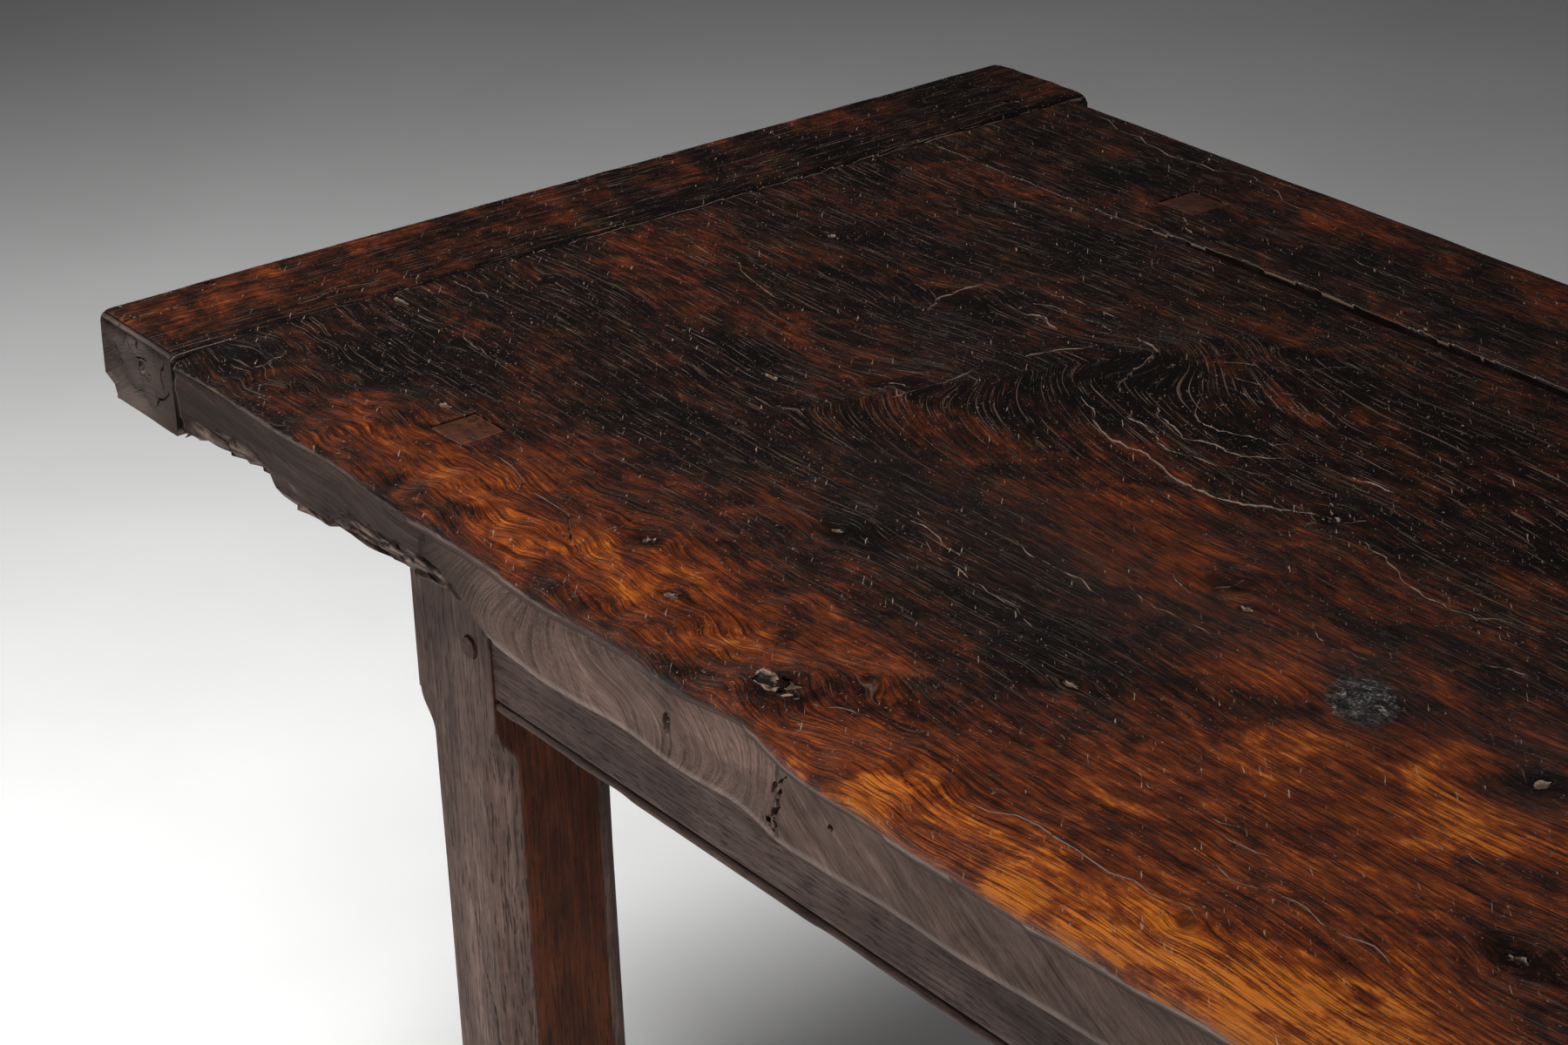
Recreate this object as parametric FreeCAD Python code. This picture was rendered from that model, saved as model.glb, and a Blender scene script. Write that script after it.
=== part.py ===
import FreeCAD, Part
import math
import os

os.makedirs("parts", exist_ok=True)

# Overall sizes, in millimetres
table_length = 2110.0
table_width = 811.0
table_height = 765.0
top_thickness = 61.0

# Every cutter reaches this far past the face that it opens, and faces within the tolerance are one
cut_overrun = 5.0
flat_tolerance = 0.01

# Boards of the top: the wide board in front takes what the back board leaves
back_board_width = 145.0
board_back_inset = 17.0
joint_gap = 6.0
joint_closed_length = 235.0
joint_taper_length = 95.0
back_arris_radius = 4.0

# Worn front edge: places along the boards, and how far the edge stands back there
front_arris_radius = 8.0
edge_sway = 16.0
edge_shares = [
    (0.000, 0.60), (0.037, 0.64), (0.073, 0.55), (0.114, 0.60), (0.136, 0.36), (0.198, 0.44),
    (0.249, 0.19), (0.283, 0.41), (0.316, 0.28), (0.344, 0.70), (0.368, 0.14), (0.386, 0.03),
    (0.429, 0.00), (0.496, 0.15), (0.558, 0.52), (0.632, 0.30), (0.728, 0.60), (0.844, 0.25),
    (0.939, 0.50), (1.000, 0.62),
]

# Waney stretch under the front edge, from the left cleat: place along it, depth of the sawn face
# above it as a share of the top's thickness, and its reach under the board
wane_length = 405.0
wane_reach = 20.0
wane_lip = 1.5
wane_shares = [
    (-0.02, 0.74, 0.30), (0.07, 0.71, 0.42), (0.14, 0.67, 0.55), (0.22, 0.59, 0.75), (0.27, 0.55, 0.80),
    (0.32, 0.88, 0.28), (0.46, 0.85, 0.25), (0.51, 0.72, 0.45), (0.57, 0.61, 0.60), (0.63, 0.58, 0.94),
    (0.78, 0.49, 1.00), (0.83, 0.54, 0.94), (0.88, 0.69, 0.60), (0.94, 0.92, 0.20), (1.00, 1.04, -0.10),
]

# Cleats across the boards' ends, on tongues that stop short of the front
cleat_width = 110.0
cleat_front_inset = 7.0
cleat_corner_radius = 10.0
cleat_arris_radius = 7.0
tongue_thickness = 20.0
tongue_depth = 62.0
tongue_stop = 60.0
back_tongue_share = 0.62
groove_spare = 3.0
cleat_peg_shares = [0.10, 0.50, 0.90]
back_peg_share = 0.50

# Splinter missing from the left cleat's lower outer corner at its front end
splinter_length = 180.0
splinter_width = 24.0
splinter_height = 14.0
splinter_lean_share = 0.70

# Loose tenons across the joint between the boards, placed along the rails' clear run
loose_tenon_width = 70.0
loose_tenon_thickness = 14.0
loose_tenon_depth = 55.0
loose_tenon_spare = 2.0
loose_tenon_shares = [-0.36, -0.12, 0.12, 0.36]

# Legs: square, with lamb's tongue stops at both ends of every chamfer
leg_size = 93.0
leg_end_inset = 300.0
leg_front_inset = 69.0
leg_back_inset = 78.0
leg_chamfer = 17.0
leg_inner_chamfer = 12.0
stop_below_rail = 15.0
stop_length = 29.0
stop_step = 1.2
foot_block_height = 130.0
foot_wear = 4.0
through_tenon_length = 36.0
through_tenon_width = 33.0
through_tenon_set_in = 9.0

# Rails: a quirked bead along the lower outer edge, and a tenon at each end
rail_height = 117.0
rail_thickness = 36.0
rail_setback = 3.0
rail_shoulder = 11.0
rail_tenon_thickness = 14.0
rail_tenon_haunch = 16.0
rail_tenon_foot = 9.0
rail_tenon_wall = 6.0
mortise_spare = 2.0
bead_radius = 4.0
quirk_width = 2.5

# Cross rail: bearer dovetailed down into the long rails at mid length
cross_rail_height = 85.0
cross_rail_thickness = 44.0
dovetail_depth = 16.0
dovetail_height = 62.0
dovetail_neck = 26.0
dovetail_flare = 5.0

# Pegs: eight-sided, tapering from head to point
peg_size = 14.0
peg_length = 60.0
peg_proud = 2.0
peg_inset = 21.0
peg_point_share = 0.80
long_rail_peg_shares = [0.27, 0.65]
end_rail_peg_shares = [0.44, 0.79]
blind_peg_size = 11.0
blind_peg_hold = 8.0

# Reference planes worked out from those sizes
leg_height = table_height - top_thickness
board_length = table_length - 2 * cleat_width
board_end = board_length / 2
y_front = -table_width / 2
y_back = table_width / 2
y_cleat_front = y_front + cleat_front_inset
y_board_back = y_back - board_back_inset
y_joint = y_board_back - back_board_width
z_tongue = leg_height + top_thickness / 2
rail_bottom = leg_height - rail_height
leg_face_x = table_length / 2 - leg_end_inset
leg_x = leg_face_x - leg_size / 2
leg_front_y = y_front + leg_front_inset + leg_size / 2
leg_back_y = y_back - leg_back_inset - leg_size / 2
long_run = 2 * (leg_face_x - leg_size)
end_run = leg_back_y - leg_front_y - leg_size
base_y = (leg_front_y + leg_back_y) / 2
tenon_set_in = rail_setback + rail_shoulder
rail_tenon_depth = leg_size - tenon_set_in - rail_tenon_thickness - rail_tenon_wall


def vec(x, y, z):
    return FreeCAD.Vector(x, y, z)


def block(x0, x1, y0, y1, z0, z1):
    return Part.makeBox(x1 - x0, y1 - y0, z1 - z0, vec(x0, y0, z0))


def prism(points, direction):
    # Straight-sided outline pushed along a direction
    return Part.Face(Part.makePolygon(points + points[:1])).extrude(direction)


def cut_all(shape, cutters):
    for cutter in cutters:
        shape = shape.cut(cutter)
    return shape.removeSplitter()


def octagon(centre, direction, across):
    # Eight-sided ring square to the direction, flat sides to the wood's grain
    side = vec(0, 0, 1) if direction.z == 0 else vec(1, 0, 0)
    other = direction.cross(side)
    reach = across / 2 / math.cos(math.pi / 8)
    ring = []
    for corner in range(8):
        turn = math.pi / 8 + corner * math.pi / 4
        ring.append(centre + side * (reach * math.cos(turn)) + other * (reach * math.sin(turn)))
    return Part.makePolygon(ring + ring[:1])


def peg(head, direction, length, size):
    point = head + direction * length
    rings = [octagon(head, direction, size), octagon(point, direction, size * peg_point_share)]
    return Part.makeLoft(rings, True, True)


# Front edge of the boards, seen from above
def edge_point(along_share, back_share):
    return vec(-board_end + along_share * board_length, y_front + back_share * edge_sway, leg_height)


edge_points = [edge_point(along_share, back_share) for along_share, back_share in edge_shares]
front_edge = Part.BSplineCurve()
front_edge.interpolate(edge_points)


def edge_y(x):
    # Where the front edge stands at a place along the boards
    line = Part.Line(vec(x, 0, leg_height), vec(x, y_front, leg_height))
    meeting = front_edge.intersectCC(line)[0]
    return meeting.Y


# Wane: the split, bark-side hollow under the front edge, cut by a ruled loft of five-sided rings
def wane_ring(place_share, face_share, reach_share):
    x = -board_end + place_share * wane_length
    y_edge = edge_y(min(max(x, edge_points[0].x), edge_points[-1].x))
    z_face = table_height - face_share * top_thickness
    z_foot = leg_height - cut_overrun
    z_low = leg_height - 2 * cut_overrun
    y_out = y_front - cut_overrun
    y_lip = y_edge + wane_lip
    y_in = y_lip + reach_share * wane_reach
    corners = [vec(x, y_out, z_face), vec(x, y_lip, z_face), vec(x, y_in, z_foot)]
    corners = corners + [vec(x, y_in, z_low), vec(x, y_out, z_low)]
    return Part.makePolygon(corners + corners[:1])


wane = Part.makeLoft([wane_ring(*row) for row in wane_shares], True, True)


# Blanks of the two boards, with their tongues
def tongue(side, y0, y1):
    x0 = side * board_end
    x1 = side * (board_end + tongue_depth)
    z0 = z_tongue - tongue_thickness / 2
    return block(min(x0, x1), max(x0, x1), y0, y1, z0, z0 + tongue_thickness)


def top_edges(shape, y_low, y_high):
    # Edges lying in the top face between two places across the boards
    found = []
    for edge in shape.Edges:
        box = edge.BoundBox
        flat = abs(box.ZMin - table_height) < flat_tolerance and box.ZLength < flat_tolerance
        if flat and box.YMin > y_low and box.YMax < y_high:
            found.append(edge)
    return found


joint_left = vec(-board_end, y_joint, leg_height)
joint_right = vec(board_end, y_joint, leg_height)
main_outline = [
    front_edge.toShape(),
    Part.makeLine(edge_points[-1], joint_right),
    Part.makeLine(joint_right, joint_left),
    Part.makeLine(joint_left, edge_points[0]),
]
main_blank = Part.Face(Part.Wire(main_outline)).extrude(vec(0, 0, top_thickness))
main_arris = top_edges(main_blank, y_front - edge_sway, y_front + 2 * edge_sway)
main_blank = main_blank.makeFillet(front_arris_radius, main_arris)
main_blank = main_blank.cut(wane)

gap_left = vec(-board_end + joint_closed_length, y_joint, leg_height)
gap_right = vec(board_end - joint_closed_length, y_joint, leg_height)
gap_open_left = gap_left + vec(joint_taper_length, joint_gap, 0)
gap_open_right = gap_right + vec(-joint_taper_length, joint_gap, 0)
back_left = vec(-board_end, y_board_back, leg_height)
back_right = vec(board_end, y_board_back, leg_height)
back_outline = [
    Part.makeLine(joint_left, gap_left),
    Part.makeLine(gap_left, gap_open_left),
    Part.makeLine(gap_open_left, gap_open_right),
    Part.makeLine(gap_open_right, gap_right),
    Part.makeLine(gap_right, joint_right),
    Part.makeLine(joint_right, back_right),
    Part.makeLine(back_right, back_left),
    Part.makeLine(back_left, joint_left),
]
back_blank = Part.Face(Part.Wire(back_outline)).extrude(vec(0, 0, top_thickness))
back_arris = top_edges(back_blank, y_board_back - back_arris_radius, y_back)
back_blank = back_blank.makeFillet(back_arris_radius, back_arris)

main_tongue_span = (y_front + tongue_stop, y_joint)
back_tongue_span = (y_joint, y_joint + back_tongue_share * back_board_width)
for side in (-1, 1):
    main_blank = main_blank.fuse(tongue(side, *main_tongue_span))
    back_blank = back_blank.fuse(tongue(side, *back_tongue_span))

# Loose tenons, their roomier mortises and their pegs
board_tenons = []
board_mortises = []
board_tenon_pegs = []
blind_peg_length = top_thickness / 2 + loose_tenon_thickness / 2 + blind_peg_hold
for share in loose_tenon_shares:
    x = share * long_run
    x0 = x - loose_tenon_width / 2
    x1 = x + loose_tenon_width / 2
    z0 = z_tongue - loose_tenon_thickness / 2
    z1 = z_tongue + loose_tenon_thickness / 2
    reach = loose_tenon_depth + loose_tenon_spare
    board_tenons.append(block(x0, x1, y_joint - loose_tenon_depth, y_joint + loose_tenon_depth, z0, z1))
    board_mortises.append(block(x0, x1, y_joint - reach, y_joint + reach, z0, z1))
    for y in (y_joint - loose_tenon_depth / 2, y_joint + loose_tenon_depth / 2):
        board_tenon_pegs.append(peg(vec(x, y, leg_height), vec(0, 0, 1), blind_peg_length, blind_peg_size))

# Pegs that hold the cleats on the tongues, driven from below
cleat_pegs = {-1: [], 1: []}
cleat_peg_length = top_thickness / 2 + tongue_thickness / 2 + blind_peg_hold
main_span = main_tongue_span[1] - main_tongue_span[0]
back_span = back_tongue_span[1] - back_tongue_span[0]
cleat_peg_places = [main_tongue_span[0] + share * main_span for share in cleat_peg_shares]
cleat_peg_places.append(back_tongue_span[0] + back_peg_share * back_span)
for side in (-1, 1):
    for y in cleat_peg_places:
        head = vec(side * (board_end + tongue_depth / 2), y, leg_height)
        cleat_pegs[side].append(peg(head, vec(0, 0, 1), cleat_peg_length, blind_peg_size))


# Cleat: a bar with rounded outer corners and worn top arrises, grooved for the tongues
def cleat(side):
    x_in = side * board_end
    x_out = side * table_length / 2
    bar = block(min(x_in, x_out), max(x_in, x_out), y_cleat_front, y_back, leg_height, table_height)
    corners = []
    for edge in bar.Edges:
        box = edge.BoundBox
        upright = box.ZLength > top_thickness / 2
        if upright and abs(box.XMin - x_out) < cleat_corner_radius:
            corners.append(edge)
    bar = bar.makeFillet(cleat_corner_radius, corners)
    arrises = []
    for edge in top_edges(bar, y_front, y_back + cut_overrun):
        middle = edge.BoundBox.Center
        if abs(middle.x - x_in) > cleat_arris_radius:
            arrises.append(edge)
    bar = bar.makeFillet(cleat_arris_radius, arrises)
    x_deep = side * (board_end + tongue_depth + groove_spare)
    x_open = side * (board_end - cut_overrun)
    y0 = main_tongue_span[0] - groove_spare
    y1 = back_tongue_span[1] + groove_spare
    z0 = z_tongue - tongue_thickness / 2
    groove = block(min(x_deep, x_open), max(x_deep, x_open), y0, y1, z0, z0 + tongue_thickness)
    return cut_all(bar, [groove] + cleat_pegs[side])


def splinter_ring(y, width, height):
    # Corner of wood that tore away, seen square to the cleat's length
    x_out = -table_length / 2
    corners = [
        vec(x_out - cut_overrun, y, leg_height - cut_overrun),
        vec(x_out + width, y, leg_height - cut_overrun),
        vec(x_out + width * splinter_lean_share, y, leg_height + height),
        vec(x_out - cut_overrun, y, leg_height + height),
    ]
    return Part.makePolygon(corners + corners[:1])


splinter = Part.makeLoft([
    splinter_ring(y_cleat_front - cut_overrun, splinter_width, splinter_height),
    splinter_ring(y_cleat_front + splinter_length, -cut_overrun / 2, -cut_overrun / 2),
], True, True)
left_cleat = cleat(-1).cut(splinter)
right_cleat = cleat(1)


# Stopped chamfer: the cutter's ogee outline lies in the upright plane through the leg's corner
def stopped_chamfer(ax, ay, size):
    depth = size / math.sqrt(2)
    inward = vec(-ax, -ay, 0).normalize()
    across = vec(-ay, ax, 0).normalize()
    corner = vec(ax * leg_size / 2, ay * leg_size / 2, 0)
    half_rise = (depth - stop_step) / 2
    radius = (half_rise ** 2 + (stop_length / 2) ** 2) / (2 * half_rise)
    half_turn = math.asin(stop_length / 2 / radius) / 2
    sag = radius * (1 - math.cos(half_turn))
    run = radius * math.sin(half_turn)

    def at(inset, z):
        return corner + inward * inset + vec(0, 0, z)

    def ogee(z, down):
        # Two tangent arcs, from the step at the leg's arris to the chamfer's full depth
        middle = at(stop_step + half_rise, z + down * stop_length / 2)
        start = at(stop_step, z)
        end = at(depth, z + down * stop_length)
        hollow = Part.Arc(start, at(stop_step + sag, z + down * run), middle)
        round_over = Part.Arc(middle, at(depth - sag, z + down * (stop_length - run)), end)
        return [hollow.toShape(), round_over.toShape()]

    z_high = rail_bottom - stop_below_rail
    z_low = foot_block_height
    outline = ogee(z_high, -1) + ogee(z_low, 1)
    outline.append(Part.makeLine(at(depth, z_high - stop_length), at(depth, z_low + stop_length)))
    outline.append(Part.makeLine(at(stop_step, z_high), at(-cut_overrun, z_high)))
    outline.append(Part.makeLine(at(-cut_overrun, z_high), at(-cut_overrun, z_low)))
    outline.append(Part.makeLine(at(-cut_overrun, z_low), at(stop_step, z_low)))
    half_width = depth + cut_overrun
    face = Part.Face(Part.Wire(Part.__sortEdges__(outline)))
    face.translate(across * -half_width)
    return face.extrude(across * (2 * half_width))


# Leg, standing at its own centre, with its outer faces towards side_x and side_y
def leg(side_x, side_y):
    half = leg_size / 2
    post = block(-half, half, -half, half, 0, leg_height)
    foot = [edge for edge in post.Edges if edge.BoundBox.ZMax < foot_wear]
    post = post.makeChamfer(foot_wear, foot)
    cutters = []
    for ax in (-1, 1):
        for ay in (-1, 1):
            inner = ax == -side_x and ay == -side_y
            cutters.append(stopped_chamfer(ax, ay, leg_inner_chamfer if inner else leg_chamfer))
    reach = rail_tenon_depth + mortise_spare
    near = half - tenon_set_in
    far = near - rail_tenon_thickness
    z0 = rail_bottom + rail_tenon_foot
    z1 = leg_height - rail_tenon_haunch
    long_x = sorted([-side_x * half, -side_x * (half - reach)])
    long_y = sorted([side_y * near, side_y * far])
    cutters.append(block(*long_x, *long_y, z0, z1))
    end_x = sorted([side_x * near, side_x * far])
    end_y = sorted([-side_y * half, -side_y * (half - reach)])
    cutters.append(block(*end_x, *end_y, z0, z1))
    post = cut_all(post, cutters)
    tenon_y = sorted([side_y * (half - through_tenon_set_in),
                      side_y * (half - through_tenon_set_in - through_tenon_width)])
    tenon_half = through_tenon_length / 2
    return post.fuse(block(-tenon_half, tenon_half, *tenon_y, leg_height, table_height))


# Rail along X with its outer face at y = 0 towards -Y and its top at z = 0
def rail(run):
    low = -rail_height
    quirk_low = low + 2 * bead_radius
    quirk_high = quirk_low + quirk_width
    x0 = -run / 2
    path = [vec(x0, bead_radius, low), vec(x0, rail_thickness, low), vec(x0, rail_thickness, 0)]
    path = path + [vec(x0, 0, 0), vec(x0, 0, quirk_high), vec(x0, bead_radius, quirk_high)]
    path.append(vec(x0, bead_radius, quirk_low))
    edges = [Part.makeLine(start, end) for start, end in zip(path, path[1:])]
    edges.append(Part.Arc(path[-1], vec(x0, 0, low + bead_radius), path[0]).toShape())
    bar = Part.Face(Part.Wire(edges)).extrude(vec(run, 0, 0))
    reach = run / 2 + rail_tenon_depth
    y0 = rail_shoulder
    y1 = rail_shoulder + rail_tenon_thickness
    tenons = block(-reach, reach, y0, y1, low + rail_tenon_foot, -rail_tenon_haunch)
    return bar.fuse(tenons).removeSplitter()


def place(shape, turn, x, y, z):
    moved = shape.copy()
    moved.rotate(vec(0, 0, 0), vec(0, 0, 1), turn)
    moved.translate(vec(x, y, z))
    return moved


rail_face = leg_size / 2 - rail_setback
front_rail = place(rail(long_run), 0, 0, leg_front_y - rail_face, leg_height)
back_rail = place(rail(long_run), 180, 0, leg_back_y + rail_face, leg_height)
left_end_rail = place(rail(end_run), 270, -leg_x - rail_face, base_y, leg_height)
right_end_rail = place(rail(end_run), 90, leg_x + rail_face, base_y, leg_height)


# Pegs through the legs' outer faces and the rails' tenons
def rail_peg(x, y, direction, share):
    z = leg_height - share * rail_height
    head = vec(x, y, z) - direction * (leg_size / 2 + peg_proud)
    return peg(head, direction, peg_length, peg_size)


from_arris = leg_size / 2 - peg_inset
front_rail_pegs = []
back_rail_pegs = []
left_end_rail_pegs = []
right_end_rail_pegs = []
for side in (-1, 1):
    for share in long_rail_peg_shares:
        x = side * (leg_x - from_arris)
        front_rail_pegs.append(rail_peg(x, leg_front_y, vec(0, 1, 0), share))
        back_rail_pegs.append(rail_peg(x, leg_back_y, vec(0, -1, 0), share))
    for share in end_rail_peg_shares:
        y = leg_back_y - from_arris if side > 0 else leg_front_y + from_arris
        left_end_rail_pegs.append(rail_peg(-leg_x, y, vec(1, 0, 0), share))
        right_end_rail_pegs.append(rail_peg(leg_x, y, vec(-1, 0, 0), share))
all_rail_pegs = front_rail_pegs + back_rail_pegs + left_end_rail_pegs + right_end_rail_pegs

# Cross rail, with a dovetail at each end that drops into the long rails
cross_y0 = leg_front_y - rail_face + rail_thickness
cross_y1 = leg_back_y + rail_face - rail_thickness
cross_half = cross_rail_thickness / 2
cross_rail = block(-cross_half, cross_half, cross_y0, cross_y1, leg_height - cross_rail_height, leg_height)
neck = dovetail_neck / 2
flare = neck + dovetail_flare
z_dovetail = leg_height - dovetail_height
for y, out in ((cross_y0, -1), (cross_y1, 1)):
    y_end = y + out * dovetail_depth
    plan = [vec(-neck, y, z_dovetail), vec(neck, y, z_dovetail)]
    plan = plan + [vec(flare, y_end, z_dovetail), vec(-flare, y_end, z_dovetail)]
    cross_rail = cross_rail.fuse(prism(plan, vec(0, 0, dovetail_height)))
cross_rail = cross_rail.removeSplitter()

# Fitting: pegs, tenons and dovetails open their own seats in what they pass through
legs = {}
for side_x, end_name in ((-1, "left"), (1, "right")):
    for side_y, y, face_name in ((-1, leg_front_y, "front"), (1, leg_back_y, "back")):
        post = place(leg(side_x, side_y), 0, side_x * leg_x, y, 0)
        legs["leg_" + face_name + "_" + end_name] = cut_all(post, all_rail_pegs)

through_tenons = []
for post in legs.values():
    top = block(-table_length, table_length, y_front, y_back, leg_height, table_height)
    through_tenons.append(post.common(top))
seats = through_tenons + board_mortises + board_tenon_pegs + cleat_pegs[-1] + cleat_pegs[1]

nodes = {
    "main_board": cut_all(main_blank, seats),
    "back_board": cut_all(back_blank, seats),
    "board_tenons": Part.Compound([cut_all(tenon, board_tenon_pegs) for tenon in board_tenons]),
    "board_tenon_pegs": Part.Compound(board_tenon_pegs),
    "left_cleat": left_cleat,
    "right_cleat": right_cleat,
    "left_cleat_pegs": Part.Compound(cleat_pegs[-1]),
    "right_cleat_pegs": Part.Compound(cleat_pegs[1]),
    "front_rail": cut_all(front_rail, front_rail_pegs + [cross_rail]),
    "back_rail": cut_all(back_rail, back_rail_pegs + [cross_rail]),
    "left_end_rail": cut_all(left_end_rail, left_end_rail_pegs),
    "right_end_rail": cut_all(right_end_rail, right_end_rail_pegs),
    "front_rail_pegs": Part.Compound(front_rail_pegs),
    "back_rail_pegs": Part.Compound(back_rail_pegs),
    "left_end_rail_pegs": Part.Compound(left_end_rail_pegs),
    "right_end_rail_pegs": Part.Compound(right_end_rail_pegs),
    "cross_rail": cross_rail,
}
nodes.update(legs)

for name, shape in nodes.items():
    shape.exportStep("parts/" + name + ".step")
    print(name, shape.isValid(), len(shape.Solids), round(shape.Volume))
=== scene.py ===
import math

import bmesh
import bpy
import numpy as np
from mathutils import Matrix, Vector
from mathutils.bvhtree import BVHTree


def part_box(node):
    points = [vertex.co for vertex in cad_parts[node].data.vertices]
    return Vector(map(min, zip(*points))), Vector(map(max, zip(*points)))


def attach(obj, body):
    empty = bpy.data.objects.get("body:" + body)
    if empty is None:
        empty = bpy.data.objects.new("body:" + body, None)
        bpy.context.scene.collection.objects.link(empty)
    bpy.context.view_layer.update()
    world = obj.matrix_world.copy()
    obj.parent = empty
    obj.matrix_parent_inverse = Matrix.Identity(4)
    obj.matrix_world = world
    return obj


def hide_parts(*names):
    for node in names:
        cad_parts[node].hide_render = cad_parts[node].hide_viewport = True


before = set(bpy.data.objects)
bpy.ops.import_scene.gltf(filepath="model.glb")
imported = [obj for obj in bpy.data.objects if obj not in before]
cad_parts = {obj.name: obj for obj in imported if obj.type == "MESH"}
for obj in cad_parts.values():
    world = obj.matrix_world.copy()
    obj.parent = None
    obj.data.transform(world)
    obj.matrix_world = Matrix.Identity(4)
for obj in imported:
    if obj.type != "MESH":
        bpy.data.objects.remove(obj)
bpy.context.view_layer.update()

scene = bpy.context.scene

# Studio: a plain pale floor under soft lamps, seen from a standing eye at the front right of the table.
# The floor is matte painted board, and darkens towards the back as the lamps fall away from it.


def linear(hex_colour):
    # sRGB hex value as linear red, green, blue and opacity
    parts = [int(hex_colour[i:i + 2], 16) / 255 for i in (1, 3, 5)]
    return [p / 12.92 if p <= 0.04045 else ((p + 0.055) / 1.055) ** 2.4 for p in parts] + [1.0]


def add(tree, kind, links=None, stops=None, **settings):
    # One node with its settings, its values or links by socket, and the colours of a ramp: gives its outputs
    node = tree.nodes.new(kind)
    for name, value in settings.items():
        setattr(node, name, value)
    for socket, value in (links or {}).items():
        if isinstance(value, bpy.types.NodeSocket):
            tree.links.new(value, node.inputs[socket])
        else:
            node.inputs[socket].default_value = value
    if stops:
        while len(node.color_ramp.elements) < len(stops):
            node.color_ramp.elements.new(0.5)
        for element, (place, colour) in zip(node.color_ramp.elements, stops):
            element.position = place
            element.color = linear(colour)
    return node.outputs


def fresh_material(name):
    # A new material, its nodes and its shader
    material = bpy.data.materials.new(name)
    material.use_nodes = True
    return material, material.node_tree, material.node_tree.nodes["Principled BSDF"]


floor_mesh = bpy.data.meshes.new("floor")
floor_mesh.from_pydata([(-40, -40, 0), (40, -40, 0), (40, 40, 0), (-40, 40, 0)], [], [(0, 1, 2, 3)])
floor = bpy.data.objects.new("floor", floor_mesh)
scene.collection.objects.link(floor)

# Painted board: even, matte, with the faintest mottling
painted_board, tree, shader = fresh_material("painted_board")
place = add(tree, "ShaderNodeTexCoord")["Object"]
mottle = add(tree, "ShaderNodeTexNoise", {"Vector": place, "Scale": 1000 / 350, "Detail": 3.0})
paint = add(tree, "ShaderNodeValToRGB", {"Fac": mottle[0]}, [(0.3, "#dededd"), (0.7, "#e4e4e3")])
tree.links.new(paint["Color"], shader.inputs["Base Color"])
shader.inputs["Roughness"].default_value = 0.9
shader.inputs["Specular IOR Level"].default_value = 0.1
floor_mesh.materials.append(painted_board)

# Lamps: place, what they aim at, width, beam in degrees and power
for name, spot, aim, size, beam, power in (
    ("key_lamp", (-0.9, -1.3, 3.0), (-1.5, -0.1, 0.0), 1.2, 80, 24.5),
    ("fill_lamp", (0.4, -1.3, 3.0), (0.4, -1.3, 0.0), 1.2, 130, 34),
    ("left_lamp", (-2.2, -0.5, 2.2), (-2.2, -0.5, 0.0), 0.7, 80, 1.9),
    ("side_lamp", (1.7, -2.7, 0.85), (-0.55, -0.38, 0.72), 0.5, 30, 0.8),
    ("back_lamp", (1.3, 2.7, 1.0), (-0.1, 0.4, 0.40), 0.6, 40, 1.4),
):
    lamp = bpy.data.objects.new(name, bpy.data.lights.new(name, "AREA"))
    lamp.data.shape = "SQUARE"
    lamp.data.size = size
    lamp.data.spread = math.radians(beam)
    lamp.data.energy = power
    lamp.location = spot
    lamp.rotation_euler = (Vector(aim) - Vector(spot)).to_track_quat("-Z", "Y").to_euler()
    scene.collection.objects.link(lamp)

world = bpy.data.worlds.new("studio_air")
world.use_nodes = True
world.node_tree.nodes["Background"].inputs["Color"].default_value = (0.030, 0.030, 0.031, 1)
scene.world = world
scene.view_settings.view_transform = "Standard"

# The eye's turns, place and lens come from the straight lines of the top, a leg and a rail
yaw, pitch, roll = -0.95201, 0.44047, 0.03776
ahead = Vector((math.sin(yaw) * math.cos(pitch), math.cos(yaw) * math.cos(pitch), -math.sin(pitch)))
level = Vector((math.cos(yaw), -math.sin(yaw), 0))
fall = ahead.cross(level)
right_way = math.cos(roll) * level + math.sin(roll) * fall
down_way = math.cos(roll) * fall - math.sin(roll) * level
eye = bpy.data.objects.new("eye", bpy.data.cameras.new("eye"))
eye.matrix_world = Matrix((right_way, -down_way, -ahead)).transposed().to_4x4()
eye.location = (1.1534, -1.3949, 1.7018)
eye.data.lens = 85.13
eye.data.clip_start = 0.05
scene.collection.objects.link(eye)
scene.camera = eye

# Main board: one wide elm plank, worn and waxed for generations. Its front edge keeps a torn waney stretch at
# the left, and its ends go into the cleats. Knots and shakes are the tree's; use has scorched and rubbed it.

top_thickness = 0.061
table_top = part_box("main_board")[1][2]
under_top = table_top - top_thickness
joint_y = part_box("main_board")[1][1]
# Where the boards' shoulders meet the cleats, either way from the middle of the table
board_end = 0.945
# Left front corner of the top: its marks are placed in millimetres along and back from here
corner = (-1.050, -0.3985)


def x_of(along):
    return corner[0] + along / 1000


def y_of(back):
    return corner[1] + back / 1000


def on_top(along, back):
    return x_of(along), y_of(back)


def drift(u, v, seed):
    # Smooth unevenness from -1 to 1, one bump to each unit square, at numbers or arrays of them
    cells = 64
    lattice = np.random.RandomState(seed).uniform(-1, 1, (cells, cells))
    i, j = np.floor(u).astype(int), np.floor(v).astype(int)
    f, g = u - i, v - j
    f, g = f * f * (3 - 2 * f), g * g * (3 - 2 * g)
    i, next_i, j, next_j = i % cells, (i + 1) % cells, j % cells, (j + 1) % cells
    low = lattice[i, j] * (1 - f) + lattice[next_i, j] * f
    high = lattice[i, next_j] * (1 - f) + lattice[next_i, next_j] * f
    return low * (1 - g) + high * g


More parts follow.
